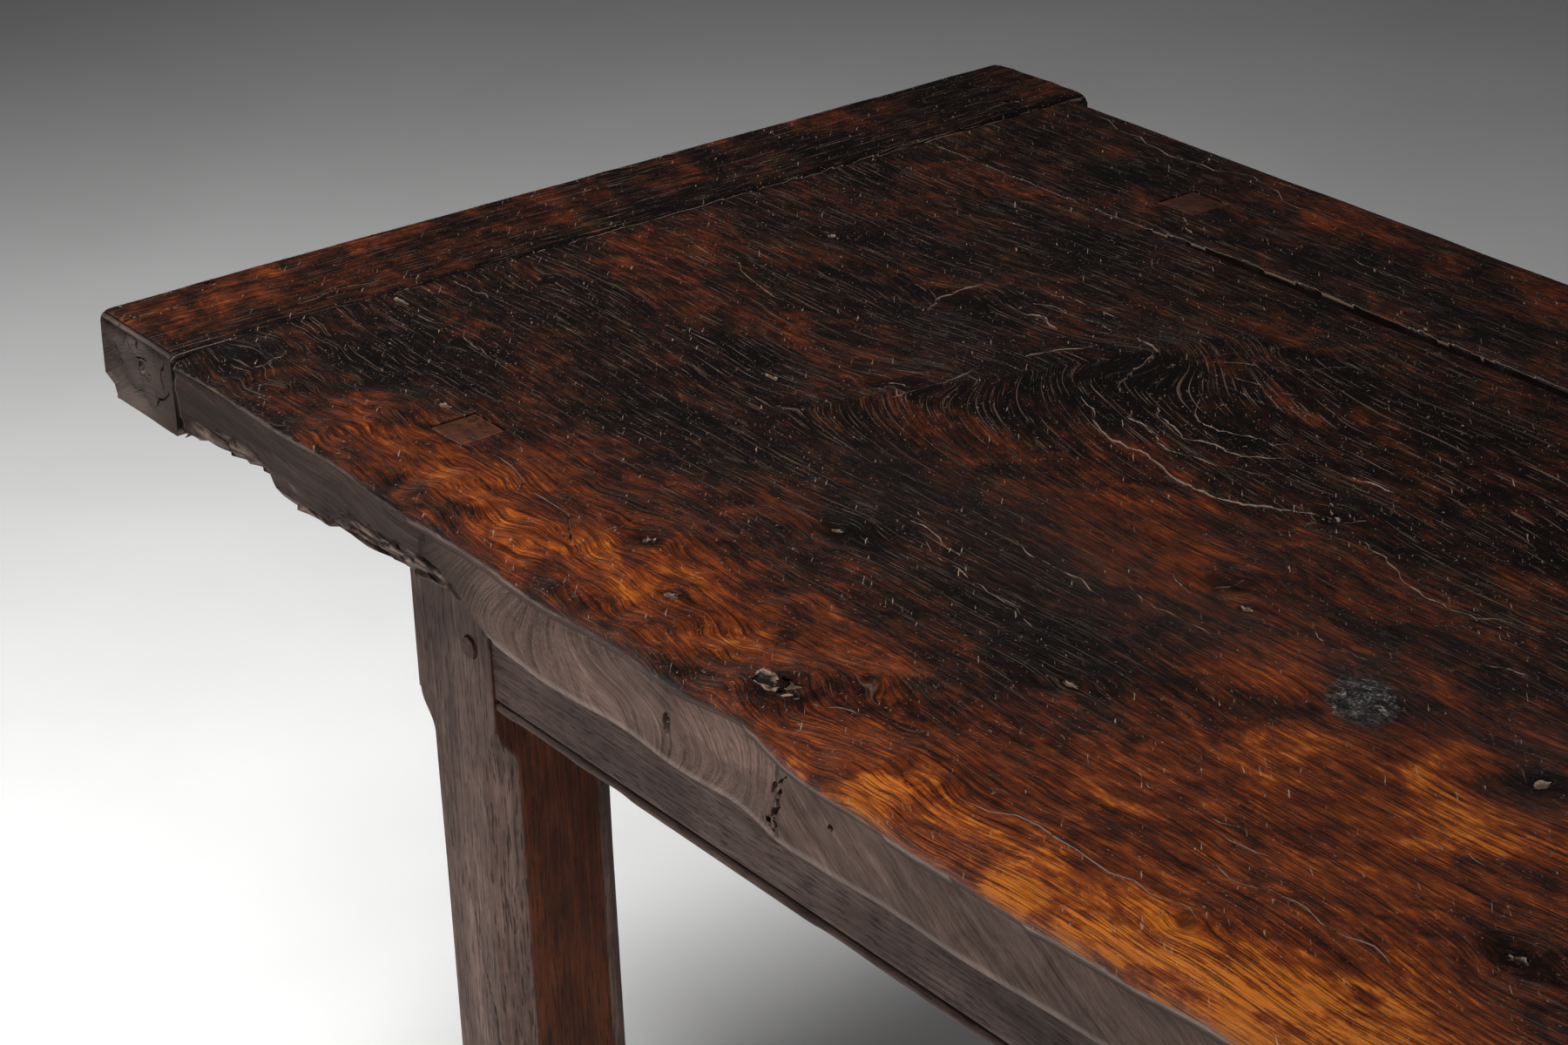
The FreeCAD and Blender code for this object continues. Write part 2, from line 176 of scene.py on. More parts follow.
def skin(name, rings, shrink=(0.86, 0.66, 0.42, 0.18)):
    # Closed mesh through a row of closed loops, with both ends drawn in to a small cap
    rings = [np.asarray(ring, float) for ring in rings]
    first, last = rings[0], rings[-1]
    head = [first.mean(0) + (first - first.mean(0)) * s for s in reversed(shrink)]
    tail = [last.mean(0) + (last - last.mean(0)) * s for s in shrink]
    rows = head + rings + tail
    count = len(first)
    faces = [tuple(reversed(range(count)))]
    for row in range(len(rows) - 1):
        for k in range(count):
            a, b = row * count + k, row * count + (k + 1) % count
            faces.append((a, b, b + count, a + count))
    faces.append(tuple(range((len(rows) - 1) * count, len(rows) * count)))
    mesh = bpy.data.meshes.new(name)
    mesh.from_pydata([tuple(p) for row in rows for p in row], [], faces)
    outward(mesh)
    piece = bpy.data.objects.new(name, mesh)
    scene.collection.objects.link(piece)
    return piece


def outward(mesh):
    work = bmesh.new()
    work.from_mesh(mesh)
    bmesh.ops.recalc_face_normals(work, faces=work.faces)
    work.to_mesh(mesh)
    work.free()


def split_wedge(path, inward, width, depth, seed):
    # Closed wedge along a wandering line on a surface: as wide as the crack there, and sharp at its bottom
    points = [Vector(p) for p in path]
    chance = np.random.RandomState(seed)
    for _ in range(3):
        finer = [points[0]]
        for a, b in zip(points, points[1:]):
            side = (b - a).cross(inward)
            finer += [(a + b) / 2 + side * chance.uniform(-0.13, 0.13), b]
        points = finer
    inward = Vector(inward)
    verts, faces = [], []
    last = len(points) - 1
    lift = 0.004
    for n, p in enumerate(points):
        run = points[min(n + 1, last)] - points[max(n - 1, 0)]
        side = run.cross(inward).normalized()
        taper = min(1.0, 0.12 + 4 * min(n, last - n) / last) * chance.uniform(0.4, 1.35)
        half, deep = width / 2 * taper, depth * taper
        flare = half * (deep + lift) / deep
        verts += [p - inward * lift - side * flare, p - inward * lift + side * flare, p + inward * deep]
    for n in range(last):
        a, b = 3 * n, 3 * n + 3
        for k in range(3):
            faces.append((a + k, a + (k + 1) % 3, b + (k + 1) % 3, b + k))
    faces += [(0, 1, 2), (3 * last, 3 * last + 1, 3 * last + 2)]
    return verts, faces


def hollow(centre, radii, seed, ragged=0.22):
    # Closed lumpy bowl, for a knot hole or a torn-out chip
    chance = np.random.RandomState(seed)
    verts, faces = [], []
    around, down = 18, 7
    lumps = chance.uniform(1 - ragged, 1 + ragged, (down, around))
    for row in range(1, down):
        fall = math.pi * row / down
        for k in range(around):
            turn = 2 * math.pi * k / around
            out = lumps[row, k] * math.sin(fall)
            level = math.cos(fall)
            bulge = (radii[0] * out * math.cos(turn), radii[1] * out * math.sin(turn), radii[2] * level)
            verts.append(Vector(centre) + Vector(bulge))
    for row in range(down - 2):
        for k in range(around):
            a, b = row * around + k, row * around + (k + 1) % around
            faces.append((a, b, b + around, a + around))
    faces.append(tuple(range(around)))
    faces.append(tuple(range((down - 2) * around, (down - 1) * around)))
    return verts, faces


def cut_away(piece, cutters):
    # Takes all the cutters out of the piece at once
    verts, faces = [], []
    for cutter_verts, cutter_faces in cutters:
        start = len(verts)
        verts += [tuple(v) for v in cutter_verts]
        faces += [tuple(start + k for k in face) for face in cutter_faces]
    mesh = bpy.data.meshes.new("cutters")
    mesh.from_pydata(verts, [], faces)
    outward(mesh)
    cutter = bpy.data.objects.new("cutters", mesh)
    scene.collection.objects.link(cutter)
    step = piece.modifiers.new("cut", "BOOLEAN")
    step.operation = "DIFFERENCE"
    step.solver = "MANIFOLD"
    step.object = cutter
    shaped = bpy.data.meshes.new_from_object(piece.evaluated_get(bpy.context.evaluated_depsgraph_get()))
    piece.modifiers.remove(step)
    old = piece.data
    piece.data = shaped
    shaped.name = piece.name
    bpy.data.meshes.remove(old)
    bpy.data.objects.remove(cutter)
    bpy.data.meshes.remove(mesh)


def corners_of(mesh):
    flat = np.empty(3 * len(mesh.vertices))
    mesh.vertices.foreach_get("co", flat)
    return flat.reshape(-1, 3)


def mark(mesh, name, *columns):
    # Stores three values for each corner of the mesh, for its material to read
    values = np.empty((len(mesh.vertices), 3), np.float32)
    for k, column in enumerate(columns):
        values[:, k] = column
    mesh.attributes.new(name, "FLOAT_VECTOR", "POINT").data.foreach_set("vector", values.ravel())


def blobs(x, y, rows):
    # Soft patches: place along and back, half sizes in millimetres, and strength
    total = np.zeros_like(x)
    for along, back, half_along, half_back, strength in rows:
        cx, cy = on_top(along, back)
        far = ((x - cx) / (half_along / 1000)) ** 2 + ((y - cy) / (half_back / 1000)) ** 2
        total += strength * np.exp(-far)
    return total


# Knots: place along and back, radius, and depth of the dish in each (minus: it stands proud), in millimetres
knots = [
    (535, 465, 26, 1.5), (472, 345, 16, 1.0), (452, 326, 10, 1.0), (788, 406, 13, 1.5),
    (963, 260, 21, -0.8), (590, 562, 14, 0.5),
    (1085, 267, 20, 1.0), (815, 303, 17, 0.8), (550, 83, 12, 1.5), (619, 51, 8, 0.8), (745, 31, 20, 1.0),
    (162, 264, 8, 0.5), (442, 266, 7, 0.5), (216, 160, 7, 0.5), (849, 154, 9, 0.5), (612, 175, 13, 0.4),
    (372, 458, 22, 0.6), (844, 287, 8, 0.4), (774, 76, 7, 0.4), (342, 655, 8, 1.0), (1193, 136, 16, 0.8),
    (1071, 38, 9, 0.8), (222, 466, 6, 1.5),
    (1430, 330, 22, 1.2), (1650, 520, 16, 1.0), (1790, 150, 20, 1.5), (1540, 90, 10, 0.8),
    (1880, 420, 12, 0.8),
]


def grain_lines(x, y, seed):
    # Lines run along the board and part round every knot, as water does round a stone
    z = x + 1j * y
    flow = z.copy()
    for along, back, radius, _ in knots:
        cx, cy = on_top(along, back)
        away = z - (cx + 1j * cy)
        size = radius / 1000
        near = np.abs(away) ** 2 + 1e-9
        flow += size ** 2 / (away + 1e-9) * (1 - np.exp(-near / size ** 2))
    # Crotch: the lines climb to a leaning spine from the left and fall away steeply on its right
    spine_points = ((455, 270), (465, 302), (503, 404), (535, 514), (550, 560))
    spine = np.interp(y, [y_of(back) for _, back in spine_points], [x_of(along) for along, _ in spine_points])
    beside = x - spine
    reach = np.exp(-((y - y_of(400)) / 0.140) ** 4)
    climb = np.where(beside < 0, 0.022 * np.exp(np.minimum(beside, 0) / 0.075),
                     0.095 * np.exp(-np.maximum(beside, 0) / 0.110) - 0.073)
    flow = flow - 1j * climb * reach
    across = flow.imag + 0.007 * drift(x / 0.21, y / 0.10, seed)
    across = across + 0.0025 * drift(x / 0.06, y / 0.05, seed + 1)
    # Burr: near the front edge the lines curl about
    burr = np.exp(-((y - corner[1] - 0.03) / 0.085) ** 2) * np.clip((x_of(1000) - x) / 0.25, 0, 1)
    curl = 0.009 * drift(x / 0.045, y / 0.032, seed + 2) + 0.004 * drift(x / 0.018, y / 0.014, seed + 3)
    across += burr * curl
    return flow.real, across


# Closeness that stands for no knot nearby
far_from_knots = 9.0


def knot_closeness(x, y):
    # 0 at a knot's middle, 1 at its rim, more outside it
    nearest = np.full_like(x, far_from_knots)
    for n, (along, back, radius, _) in enumerate(knots):
        cx, cy = on_top(along, back)
        turn = np.arctan2(y - cy, x - cx)
        lobe = 1 + 0.16 * np.sin(2 * turn + n) + 0.09 * np.sin(3 * turn + 2 * n)
        nearest = np.minimum(nearest, np.hypot(x - cx, (y - cy) * 1.15) / (radius / 1000 * lobe))
    return nearest


def top_height(x, y):
    # Hand-planed and worn surface of the main board
    z = table_top - 0.0006 + 0.0009 * drift(x / 0.33, y / 0.21, 3) + 0.0005 * drift(x / 0.10, y / 0.045, 4)
    z += 0.00022 * drift(x / 0.05, y / 0.011, 5)
    for along, back, radius, dish in knots:
        cx, cy = on_top(along, back)
        away = np.hypot(x - cx, y - cy) / (radius / 1000)
        z += dish / 1000 * (0.35 * np.exp(-((away - 1.15) / 0.35) ** 2) - np.exp(-(away / 0.8) ** 2))
    return z


def edge_drop(x, behind):
    # How far the worn front edge has sunk, by the distance behind it
    roundness = np.interp(x, [x_of(k) for k in (110, 250, 420, 620, 820)],
                          [0.0065, 0.0045, 0.0030, 0.0020, 0.0042])
    return roundness * np.exp(-behind / 0.011) * (1 + 0.5 * drift(x / 0.07, 0, 11))


# Scorched and worn patches: along, back, half sizes in millimetres, strength
scorch = [
    (352, 285, 45, 22, 0.8), (404, 197, 42, 18, 0.9), (797, 186, 60, 26, 0.9), (815, 140, 40, 34, 0.7),
    (280, 748, 40, 30, 0.9), (268, 706, 28, 20, 0.7), (360, 584, 60, 38, 0.8), (132, 560, 26, 30, 0.8),
    (548, 455, 55, 55, 1.0), (665, 437, 65, 16, 0.8), (215, 128, 60, 42, 0.65), (150, 50, 60, 45, 0.55),
    (402, 458, 32, 40, 0.8), (900, 330, 70, 28, 0.5), (990, 340, 45, 24, 0.5), (860, 410, 50, 24, 0.5),
    (320, 410, 100, 22, 0.6), (280, 510, 70, 18, 0.5), (260, 240, 60, 18, 0.4), (620, 178, 36, 22, 0.6),
    (1085, 267, 30, 26, 0.8), (963, 258, 30, 30, 0.7), (444, 20, 30, 9, 0.35), (1193, 136, 30, 20, 0.6),
    (700, 560, 120, 30, 0.4), (900, 500, 140, 40, 0.35), (640, 250, 80, 30, 0.35), (480, 350, 60, 40, 0.5),
    (1330, 560, 120, 60, 0.7), (1500, 230, 150, 50, 0.6), (1720, 420, 120, 70, 0.7), (1860, 240, 90, 60, 0.6),
    (1600, 600, 140, 40, 0.5), (1900, 560, 60, 60, 0.6), (540, 250, 150, 90, 0.2),
]
rubbed = [
    (470, 50, 150, 50, 0.62), (290, 35, 110, 35, 0.5), (620, 50, 110, 44, 0.70), (960, 16, 190, 36, 0.92),
    (1200, 40, 150, 50, 0.8), (710, 310, 70, 50, 0.45), (1080, 130, 160, 60, 0.45), (230, 190, 110, 22, 0.35),
    (400, 120, 140, 40, 0.3), (560, 300, 100, 40, 0.3), (250, 330, 120, 30, 0.3), (700, 100, 120, 40, 0.4),
    (900, 90, 120, 40, 0.4), (560, 574, 40, 14, 0.6), (1500, 30, 260, 40, 0.8), (1850, 40, 160, 40, 0.7),
    (820, 330, 130, 70, 0.6), (1000, 200, 160, 80, 0.65), (1150, 250, 150, 90, 0.65),
    (250, 620, 100, 30, 0.25), (150, 380, 50, 60, 0.25), (860, 600, 150, 30, 0.25), (1400, 420, 160, 40, 0.3),
]


def walls_of(node):
    # The frame's own solid, to feel for its faces
    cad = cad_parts[node].data
    return BVHTree.FromPolygons([v.co for v in cad.vertices], [p.vertices for p in cad.polygons])


def front_of(walls, x, drop):
    # Where the front face lies, this far below the top
    return walls.ray_cast(Vector((x, -0.6, table_top - drop)), Vector((0, 1, 0)))[0]


board_walls = walls_of("main_board")
# Rings across the board, close together at its ends and along the half that has most marks
edge_gaps = [0, 0.0006, 0.0014, 0.0026, 0.0045, 0.0075]
past_edge = 0.0115
marked_end = x_of(1250)
places = [-board_end + gap for gap in edge_gaps]
places += list(np.arange(-board_end + past_edge, marked_end, 0.004))
places += list(np.arange(marked_end + 0.004, board_end - past_edge, 0.0085))
places += [board_end - gap for gap in reversed(edge_gaps)]
within_end = board_end - 0.0004
# Rows down the front face, with the one that the saw left straight
down = np.array([0.0004, 0.0012, 0.0025, 0.0045, 0.007, 0.010, 0.014, 0.017, 0.020, 0.023, 0.026, 0.029,
                 0.032, 0.035, 0.038, 0.041, 0.044, 0.047, 0.050, 0.053, 0.056, 0.0585, 0.0606])
sawn_row = 6
arris = 0.008
rows_back = 158
rows_under = 24
rings = []
sawn_line = []
for x in places:
    ray_x = min(max(x, -within_end), within_end)
    face = np.array([front_of(board_walls, ray_x, drop).y for drop in down])
    sawn = face[sawn_row]
    sawn_line.append(sawn)
    # Below the worn notch the sawn face runs on straight
    filled = np.exp(-((x - x_of(760)) / 0.050) ** 2)
    face = face - 0.0065 * filled * np.clip((down - 0.018) / 0.016, 0, 1)
    torn = np.clip((face - sawn - 0.0008) / 0.004, 0, 1)
    # Wear all over it, ledges where wood has torn away, hewn facets at the right and split layers at the left
    wear = 0.0007 * drift(x / 0.05, down / 0.03, 6) + 0.0004 * drift(x / 0.017, down / 0.012, 7)
    rough = 0.0022 * drift(x / 0.08, down / 0.007, 8) + 0.0012 * drift(x / 0.022, down / 0.005, 9)
    ledge = (down / 0.011 + 1.6 * drift(x / 0.07, down / 0.03, 15) + x / 0.21) % 1.0
    rough = rough + 0.0042 * (ledge - 0.5)
    hewn = 0.0011 * drift(x / 0.027, down / 0.017, 17) * np.clip((x - x_of(790)) / 0.02, 0, 1)
    split_off = 0.0019 * drift(x / 0.09, down / 0.0058, 18) * np.clip((x_of(440) - x) / 0.03, 0, 1)
    face = face + (wear + hewn + split_off) * np.clip((down - 0.004) / 0.006, 0, 1) + rough * torn
    end_gap = min(x + board_end, board_end - x)
    end_wear = 0.0024 * math.exp(-end_gap / 0.0022)
    face = face - 0.0018 * math.exp(-end_gap / 0.03)
    y_start = sawn + arris
    tops = np.concatenate([[joint_y - gap for gap in edge_gaps],
                           np.linspace(joint_y - past_edge, y_start + 0.0005, rows_back)])
    heights = top_height(x, tops)
    heights -= 0.0022 * np.exp(-(joint_y - tops) / 0.0022) * (1.1 + 0.5 * drift(x / 0.02, 0, 10))
    heights -= edge_drop(x, tops - y_start)
    heights -= end_wear * (1.1 + 0.6 * drift(tops / 0.018, 0, 12))
    fallen = heights[-1] - table_top
    face_z = table_top - down + fallen * np.exp(-down / 0.012) - end_wear
    face_z = np.minimum(face_z, heights[-1] - 0.0003)
    lower = np.linspace(face[-1] + 0.004, joint_y, rows_under)
    under = under_top + 0.0006 + 0.0006 * drift(x / 0.06, lower / 0.03, 13)
    rise = np.linspace(under_top + 0.010, heights[0] - 0.010, 4)
    shift = 0.0
    if end_gap < 0.02:
        shift = 0.0024 * math.exp(-end_gap / 0.004) * (1 if x < 0 else -1)
    crumbled = 1.3 * np.exp(-((tops - y_of(395)) / 0.035) ** 2)
    ragged = 1 + crumbled + 0.5 * drift(tops / 0.03, 0, 14) + 0.4 * drift(tops / 0.008, 0, 16)
    loop = [(x + s, y, z) for s, y, z in zip(shift * ragged, tops, heights)]
    tight = x + 0.06 * shift
    loop += [(tight, y, z) for y, z in zip(face, face_z)]
    loop += [(tight, y, z) for y, z in zip(lower, under)]
    loop += [(tight, joint_y, z) for z in rise]
    rings.append(loop)
main_board = skin("main_board_skin", rings)

# Shakes and tears in the top: width and depth in millimetres, then places along and back
shakes = [
    (1.5, 3.0, [(360, 82), (404, 78), (480, 66), (508, 54), (532, 44), (572, 44), (620, 56)]),
    (2.4, 3.0, [(148, 70), (160, 56), (164, 40), (160, 26), (154, 16)]),
    (1.6, 2.5, [(110, 214), (140, 215), (172, 213)]),
    (3.2, 3.0, [(496, 512), (532, 496), (542, 476), (552, 452), (568, 432)]),
    (3.2, 3.0, [(554, 411), (594, 391), (635, 382), (689, 373), (734, 377), (761, 391), (786, 405)]),
    (1.9, 2.5, [(797, 393), (846, 393), (882, 377), (914, 373), (950, 386), (981, 395)]),
    (2.2, 2.5, [(790, 408), (772, 420)]), (2.0, 2.5, [(791, 402), (806, 420)]),
    (1.8, 2.2, [(785, 398), (790, 384)]),
    (2.4, 2.0, [(752, 453), (772, 458), (792, 459)]), (1.4, 2.0, [(792, 455), (810, 433)]),
    (3.0, 2.5, [(364, 492), (362, 468), (372, 440), (382, 424)]),
    (2.8, 2.2, [(424, 472), (440, 480), (464, 472)]), (2.6, 2.2, [(500, 476), (488, 452), (480, 420)]),
    (2.8, 2.2, [(478, 395), (482, 360), (476, 314)]), (1.8, 2.0, [(442, 318), (458, 332), (476, 342)]),
    (1.8, 3.0, [(813, 287), (816, 301), (815, 314)]), (1.3, 1.6, [(779, 290), (797, 280), (815, 276)]),
    (1.2, 1.5, [(770, 260), (810, 249), (882, 256)]), (1.6, 2.0, [(968, 330), (985, 345), (1004, 351)]),
    (1.8, 2.0, [(790, 1), (824, 10), (860, 22), (927, 33), (1040, 42), (1098, 46)]),
    (1.8, 2.5, [(707, 64), (710, 50), (720, 38)]), (1.6, 2.5, [(770, 33), (790, 43), (815, 51)]),
    (1.6, 2.0, [(528, 88), (523, 72), (525, 58), (536, 44)]), (3.6, 2.0, [(424, 20), (444, 21), (464, 19)]),
    (1.2, 1.5, [(116, 396), (220, 386), (332, 378)]), (1.1, 1.2, [(140, 164), (200, 173), (296, 167)]),
    (1.0, 1.2, [(1040, 175), (1090, 181), (1135, 184)]), (1.2, 1.5, [(1017, 110), (1058, 111)]),
    (2.0, 3.0, [(1290, 520), (1360, 512), (1440, 520), (1530, 508)]),
    (1.6, 2.0, [(1600, 300), (1680, 292), (1742, 300)]),
    (2.4, 4.0, [(1830, 596), (1900, 590), (1985, 594)]), (1.6, 2.0, [(1418, 318), (1432, 332), (1448, 340)]),
    (1.8, 2.0, [(1700, 60), (1780, 52), (1850, 58)]),
    (2.0, 1.6, [(590, 452), (610, 428), (645, 417), (690, 426), (716, 450)]),
    (1.8, 1.6, [(600, 472), (622, 449), (652, 441), (690, 451), (708, 470)]),
    (1.8, 1.6, [(575, 440), (600, 412), (640, 401), (690, 405), (730, 428)]),
    (1.3, 1.2, [(560, 482), (600, 490), (640, 491), (698, 502)]),
    (1.2, 1.2, [(563, 492), (600, 506), (636, 512), (690, 531)]),
    (1.2, 1.2, [(560, 504), (590, 528), (618, 548), (650, 598)]),
    (1.1, 1.2, [(556, 512), (574, 540), (588, 580)]),
    (1.3, 1.2, [(400, 486), (432, 497), (470, 500), (500, 488)]),
    (1.2, 1.2, [(380, 500), (420, 512), (462, 515), (505, 505)]),
    (1.2, 1.0, [(880, 300), (910, 290), (950, 296)]), (1.3, 1.0, [(690, 250), (740, 240), (800, 236)]),
    (1.2, 1.0, [(640, 205), (690, 196), (760, 190), (800, 180)]),
    (1.2, 1.0, [(610, 225), (660, 214), (720, 210)]),
    (1.3, 1.2, [(1010, 90), (1060, 82), (1120, 86), (1180, 78)]),
    (1.2, 1.0, [(900, 120), (960, 112), (1040, 118)]),
]


def shake_wedges(shakes, height, seed):
    # Cutters for shakes in a board's top, which follow its surface
    wedges = []
    for n, (width, depth, path) in enumerate(shakes):
        plan = np.array([on_top(*p) for p in path])
        line = [(x, y, z) for (x, y), z in zip(plan, height(plan[:, 0], plan[:, 1]))]
        wedges.append(split_wedge(line, Vector((0, 0, -1)), width / 1000, depth / 1000, seed + n))
    return wedges


cutters = shake_wedges(shakes, top_height, 40)
# Torn-out chips and open knots: along, back, half sizes along, back and down
for n, (along, back, half_along, half_back, deep) in enumerate([
    (738, 30, 13, 10, 3), (756, 26, 11, 8, 2.2), (748, 38, 9, 6, 2), (222, 466, 5, 4, 3),
    (127, 167, 12, 4, 2), (788, 406, 6, 5, 3), (550, 83, 5, 4, 2.5), (342, 655, 8, 6, 3),
    (1790, 150, 8, 6, 4), (619, 51, 6, 4, 1.6), (612, 175, 5, 3, 1.5), (844, 287, 5, 3, 1.5),
    (849, 154, 6, 3, 1.4), (1193, 136, 7, 4, 2), (1085, 267, 5, 7, 1.5), (400, 282, 9, 3, 1.5),
    (300, 96, 6, 4, 1.5),
]):
    x, y = on_top(along, back)
    z = float(top_height(np.array([x]), np.array([y]))[0])
    cutters.append(hollow((x, y, z), (half_along / 1000, half_back / 1000, deep / 1000), 80 + n, 0.42))
# Rot holes and two nail holes in the front face: along, depth below the top, half width, half height
for n, (along, deep, half_along, half_up) in enumerate([
    (797, 31, 6, 5), (794, 52, 9, 5), (845, 32.5, 2.6, 2.6), (1420, 30, 2.6, 2.6), (690, 36, 4, 8),
]):
    hit = front_of(board_walls, x_of(along), deep / 1000)
    cutters.append(hollow(hit, (half_along / 1000, 0.006, half_up / 1000), 95 + n))
# A crack runs down the face below the worn notch
line = []
for along, deep in ((808, 15), (801, 24), (797, 31), (800, 40), (793, 50), (796, 60)):
    hit = front_of(board_walls, x_of(along), deep / 1000)
    line.append((hit.x, hit.y - 0.003, hit.z))
cutters.append(split_wedge(line, Vector((0, 1, 0)), 0.0034, 0.011, 99))

# Half a leg's width, half sizes of its through tenon, and the shoulder left between their outer faces
leg_half = 0.0465
tenon_half = (0.018, 0.0165)
tenon_shoulder = 0.009
tenon_play = 0.0008
box_faces = [(0, 1, 2, 3), (4, 5, 6, 7), (0, 1, 5, 4), (1, 2, 6, 5), (2, 3, 7, 6), (3, 0, 4, 7)]


def mortise(leg_name, play):
    # Square-cornered hole for a leg's through tenon, with the play that shrinkage has left round it
    low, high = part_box(leg_name)
    x, middle = (low[0] + high[0]) / 2, (low[1] + high[1]) / 2
    outer = -1 if middle < 0 else 1
    y = middle + outer * (leg_half - tenon_shoulder - tenon_half[1])
    half = (tenon_half[0] + play, tenon_half[1] + play)
    ring = [(x + a * half[0], y + b * half[1]) for a, b in ((-1, -1), (1, -1), (1, 1), (-1, 1))]
    verts = [(px, py, z) for z in (under_top - 0.005, table_top + 0.005) for px, py in ring]
    return verts, box_faces


cutters += [mortise("leg_front_left", tenon_play), mortise("leg_front_right", tenon_play)]
cut_away(main_board, cutters)

mesh = main_board.data
x, y, z = corners_of(mesh).T
along_grain, across_grain = grain_lines(x, y, 20)
front = y < corner[1] + 0.030
wax_reach = np.interp(x, [x_of(k) for k in (110, 250, 420, 600, 900)], [0.0045, 0.0045, 0.005, 0.006, 0.012])
handled = np.clip(1 - (table_top - z - wax_reach) / 0.008, 0, 1)
over_edge = np.where(front, np.clip(table_top - 0.004 - z, 0, 1), 0)
on_face = front & (table_top - z > wax_reach + 0.0065)
# The front face shows lines along the board at its left, bowed rings in its middle, hewn facets at its right
left_part = x < x_of(430) + 0.006 * drift(z / 0.012, 0, 23)
right_part = x > x_of(797) + 0.004 * drift(z / 0.012, 0, 24)
bowed = 0.62 * x + 0.35 * over_edge + 0.016 * np.sin(over_edge / 0.026 + x / 0.09)
bowed += 0.007 * drift(x / 0.05, z / 0.03, 21) + 0.020 * drift(x / 0.16, z / 0.06, 22)
layered = z + 0.10 * x + 0.003 * drift(x / 0.06, z / 0.02, 25)
face_across = np.where(left_part, layered, np.where(right_part, 0.4 * z + 0.25 * x, bowed))
face_along = np.where(left_part, x, np.where(right_part, 3 * x + 2 * z, 0.25 * x + 1.2 * z))
across_grain = np.where(on_face, face_across, across_grain - over_edge)
along_grain = np.where(on_face, face_along, along_grain)
# Where the bark side tore away, the wood shows in layers along the board
sawn_at = np.interp(x, places, sawn_line)
torn_face = front * np.clip((y - sawn_at - 0.0012) / 0.0016, 0, 1)
torn_face = torn_face * np.clip((table_top - 0.014 - z) / 0.002, 0, 1)
across_grain = np.where(torn_face > 0.5, z + 0.15 * x, across_grain)
along_grain = np.where(torn_face > 0.5, x, along_grain)
mark(mesh, "grain", along_grain, across_grain, 0.1 + 0.35 * on_face)
soot = blobs(x, y, scorch) + 0.9 * np.exp(-(board_end - np.abs(x)) / 0.005) * ~on_face
soot += 1.25 * front * (1 - handled) * np.clip((x_of(530) - x) / 0.10, 0, 1)
soot += 0.3 * on_face * right_part
# A painted highlight along the lower edge of the front face, kept with the wear so that the bare side shows
# it pale
lower_edge_highlight = 0.9 * np.clip((under_top + 0.0050 - z) / 0.0020, 0, 1) * np.clip((x - x_of(430)) / 0.03, 0, 1)
wear_and_edge_highlight = blobs(x, y, rubbed)
# Sleeves have rubbed the rounded lip brightest of all, right of the torn stretch
lip = np.exp(-np.maximum(y - sawn_at, 0) / 0.013)
wear_and_edge_highlight += 0.58 * lip * np.clip((x - x_of(640)) / 0.10, 0.25, 1)
wear_and_edge_highlight = np.where(on_face, np.maximum(wear_and_edge_highlight * handled, lower_edge_highlight), wear_and_edge_highlight)
mark(mesh, "tone", soot, wear_and_edge_highlight, handled)
surface = top_height(x, y) - edge_drop(x, np.maximum(y - sawn_at - arris, 0))
sunk = surface - z
# Cracks and the gaps at the joints are painted by their depth: a pale painted highlight near the lip, and
# near black painted shade deeper in and on the gap walls
inside = (sunk > 0.0006) & (sunk < 0.0075) & ~front & (np.abs(x) < board_end - 0.006) & (y < joint_y - 0.006)
shaded_gap_wall = (np.abs(x) > board_end - 0.004) | (y > joint_y - 0.0006)
shaded_gap_wall &= (sunk > 0.0022) & (z > under_top + 0.002)
silver_x, silver_y = x - x_of(963), y - y_of(260)
silver = np.hypot((0.58 * silver_x + 0.81 * silver_y) / 0.018, (0.58 * silver_y - 0.81 * silver_x) / 0.028)
silver = np.clip(1.15 - silver, 0, 0.25) * 4
shade_depth_of_cracks = np.where(inside, sunk, 0) + np.where(shaded_gap_wall, 0.004, 0)
# Growth lines are faint at the left of the front face and lost where it has been hewn
lined = np.where(left_part, 0.93, np.where(right_part, 0.80, 1.2))
closeness = np.where(on_face, lined, knot_closeness(x, y))
mark(mesh, "marks", closeness, shade_depth_of_cracks * 1000, silver - torn_face)


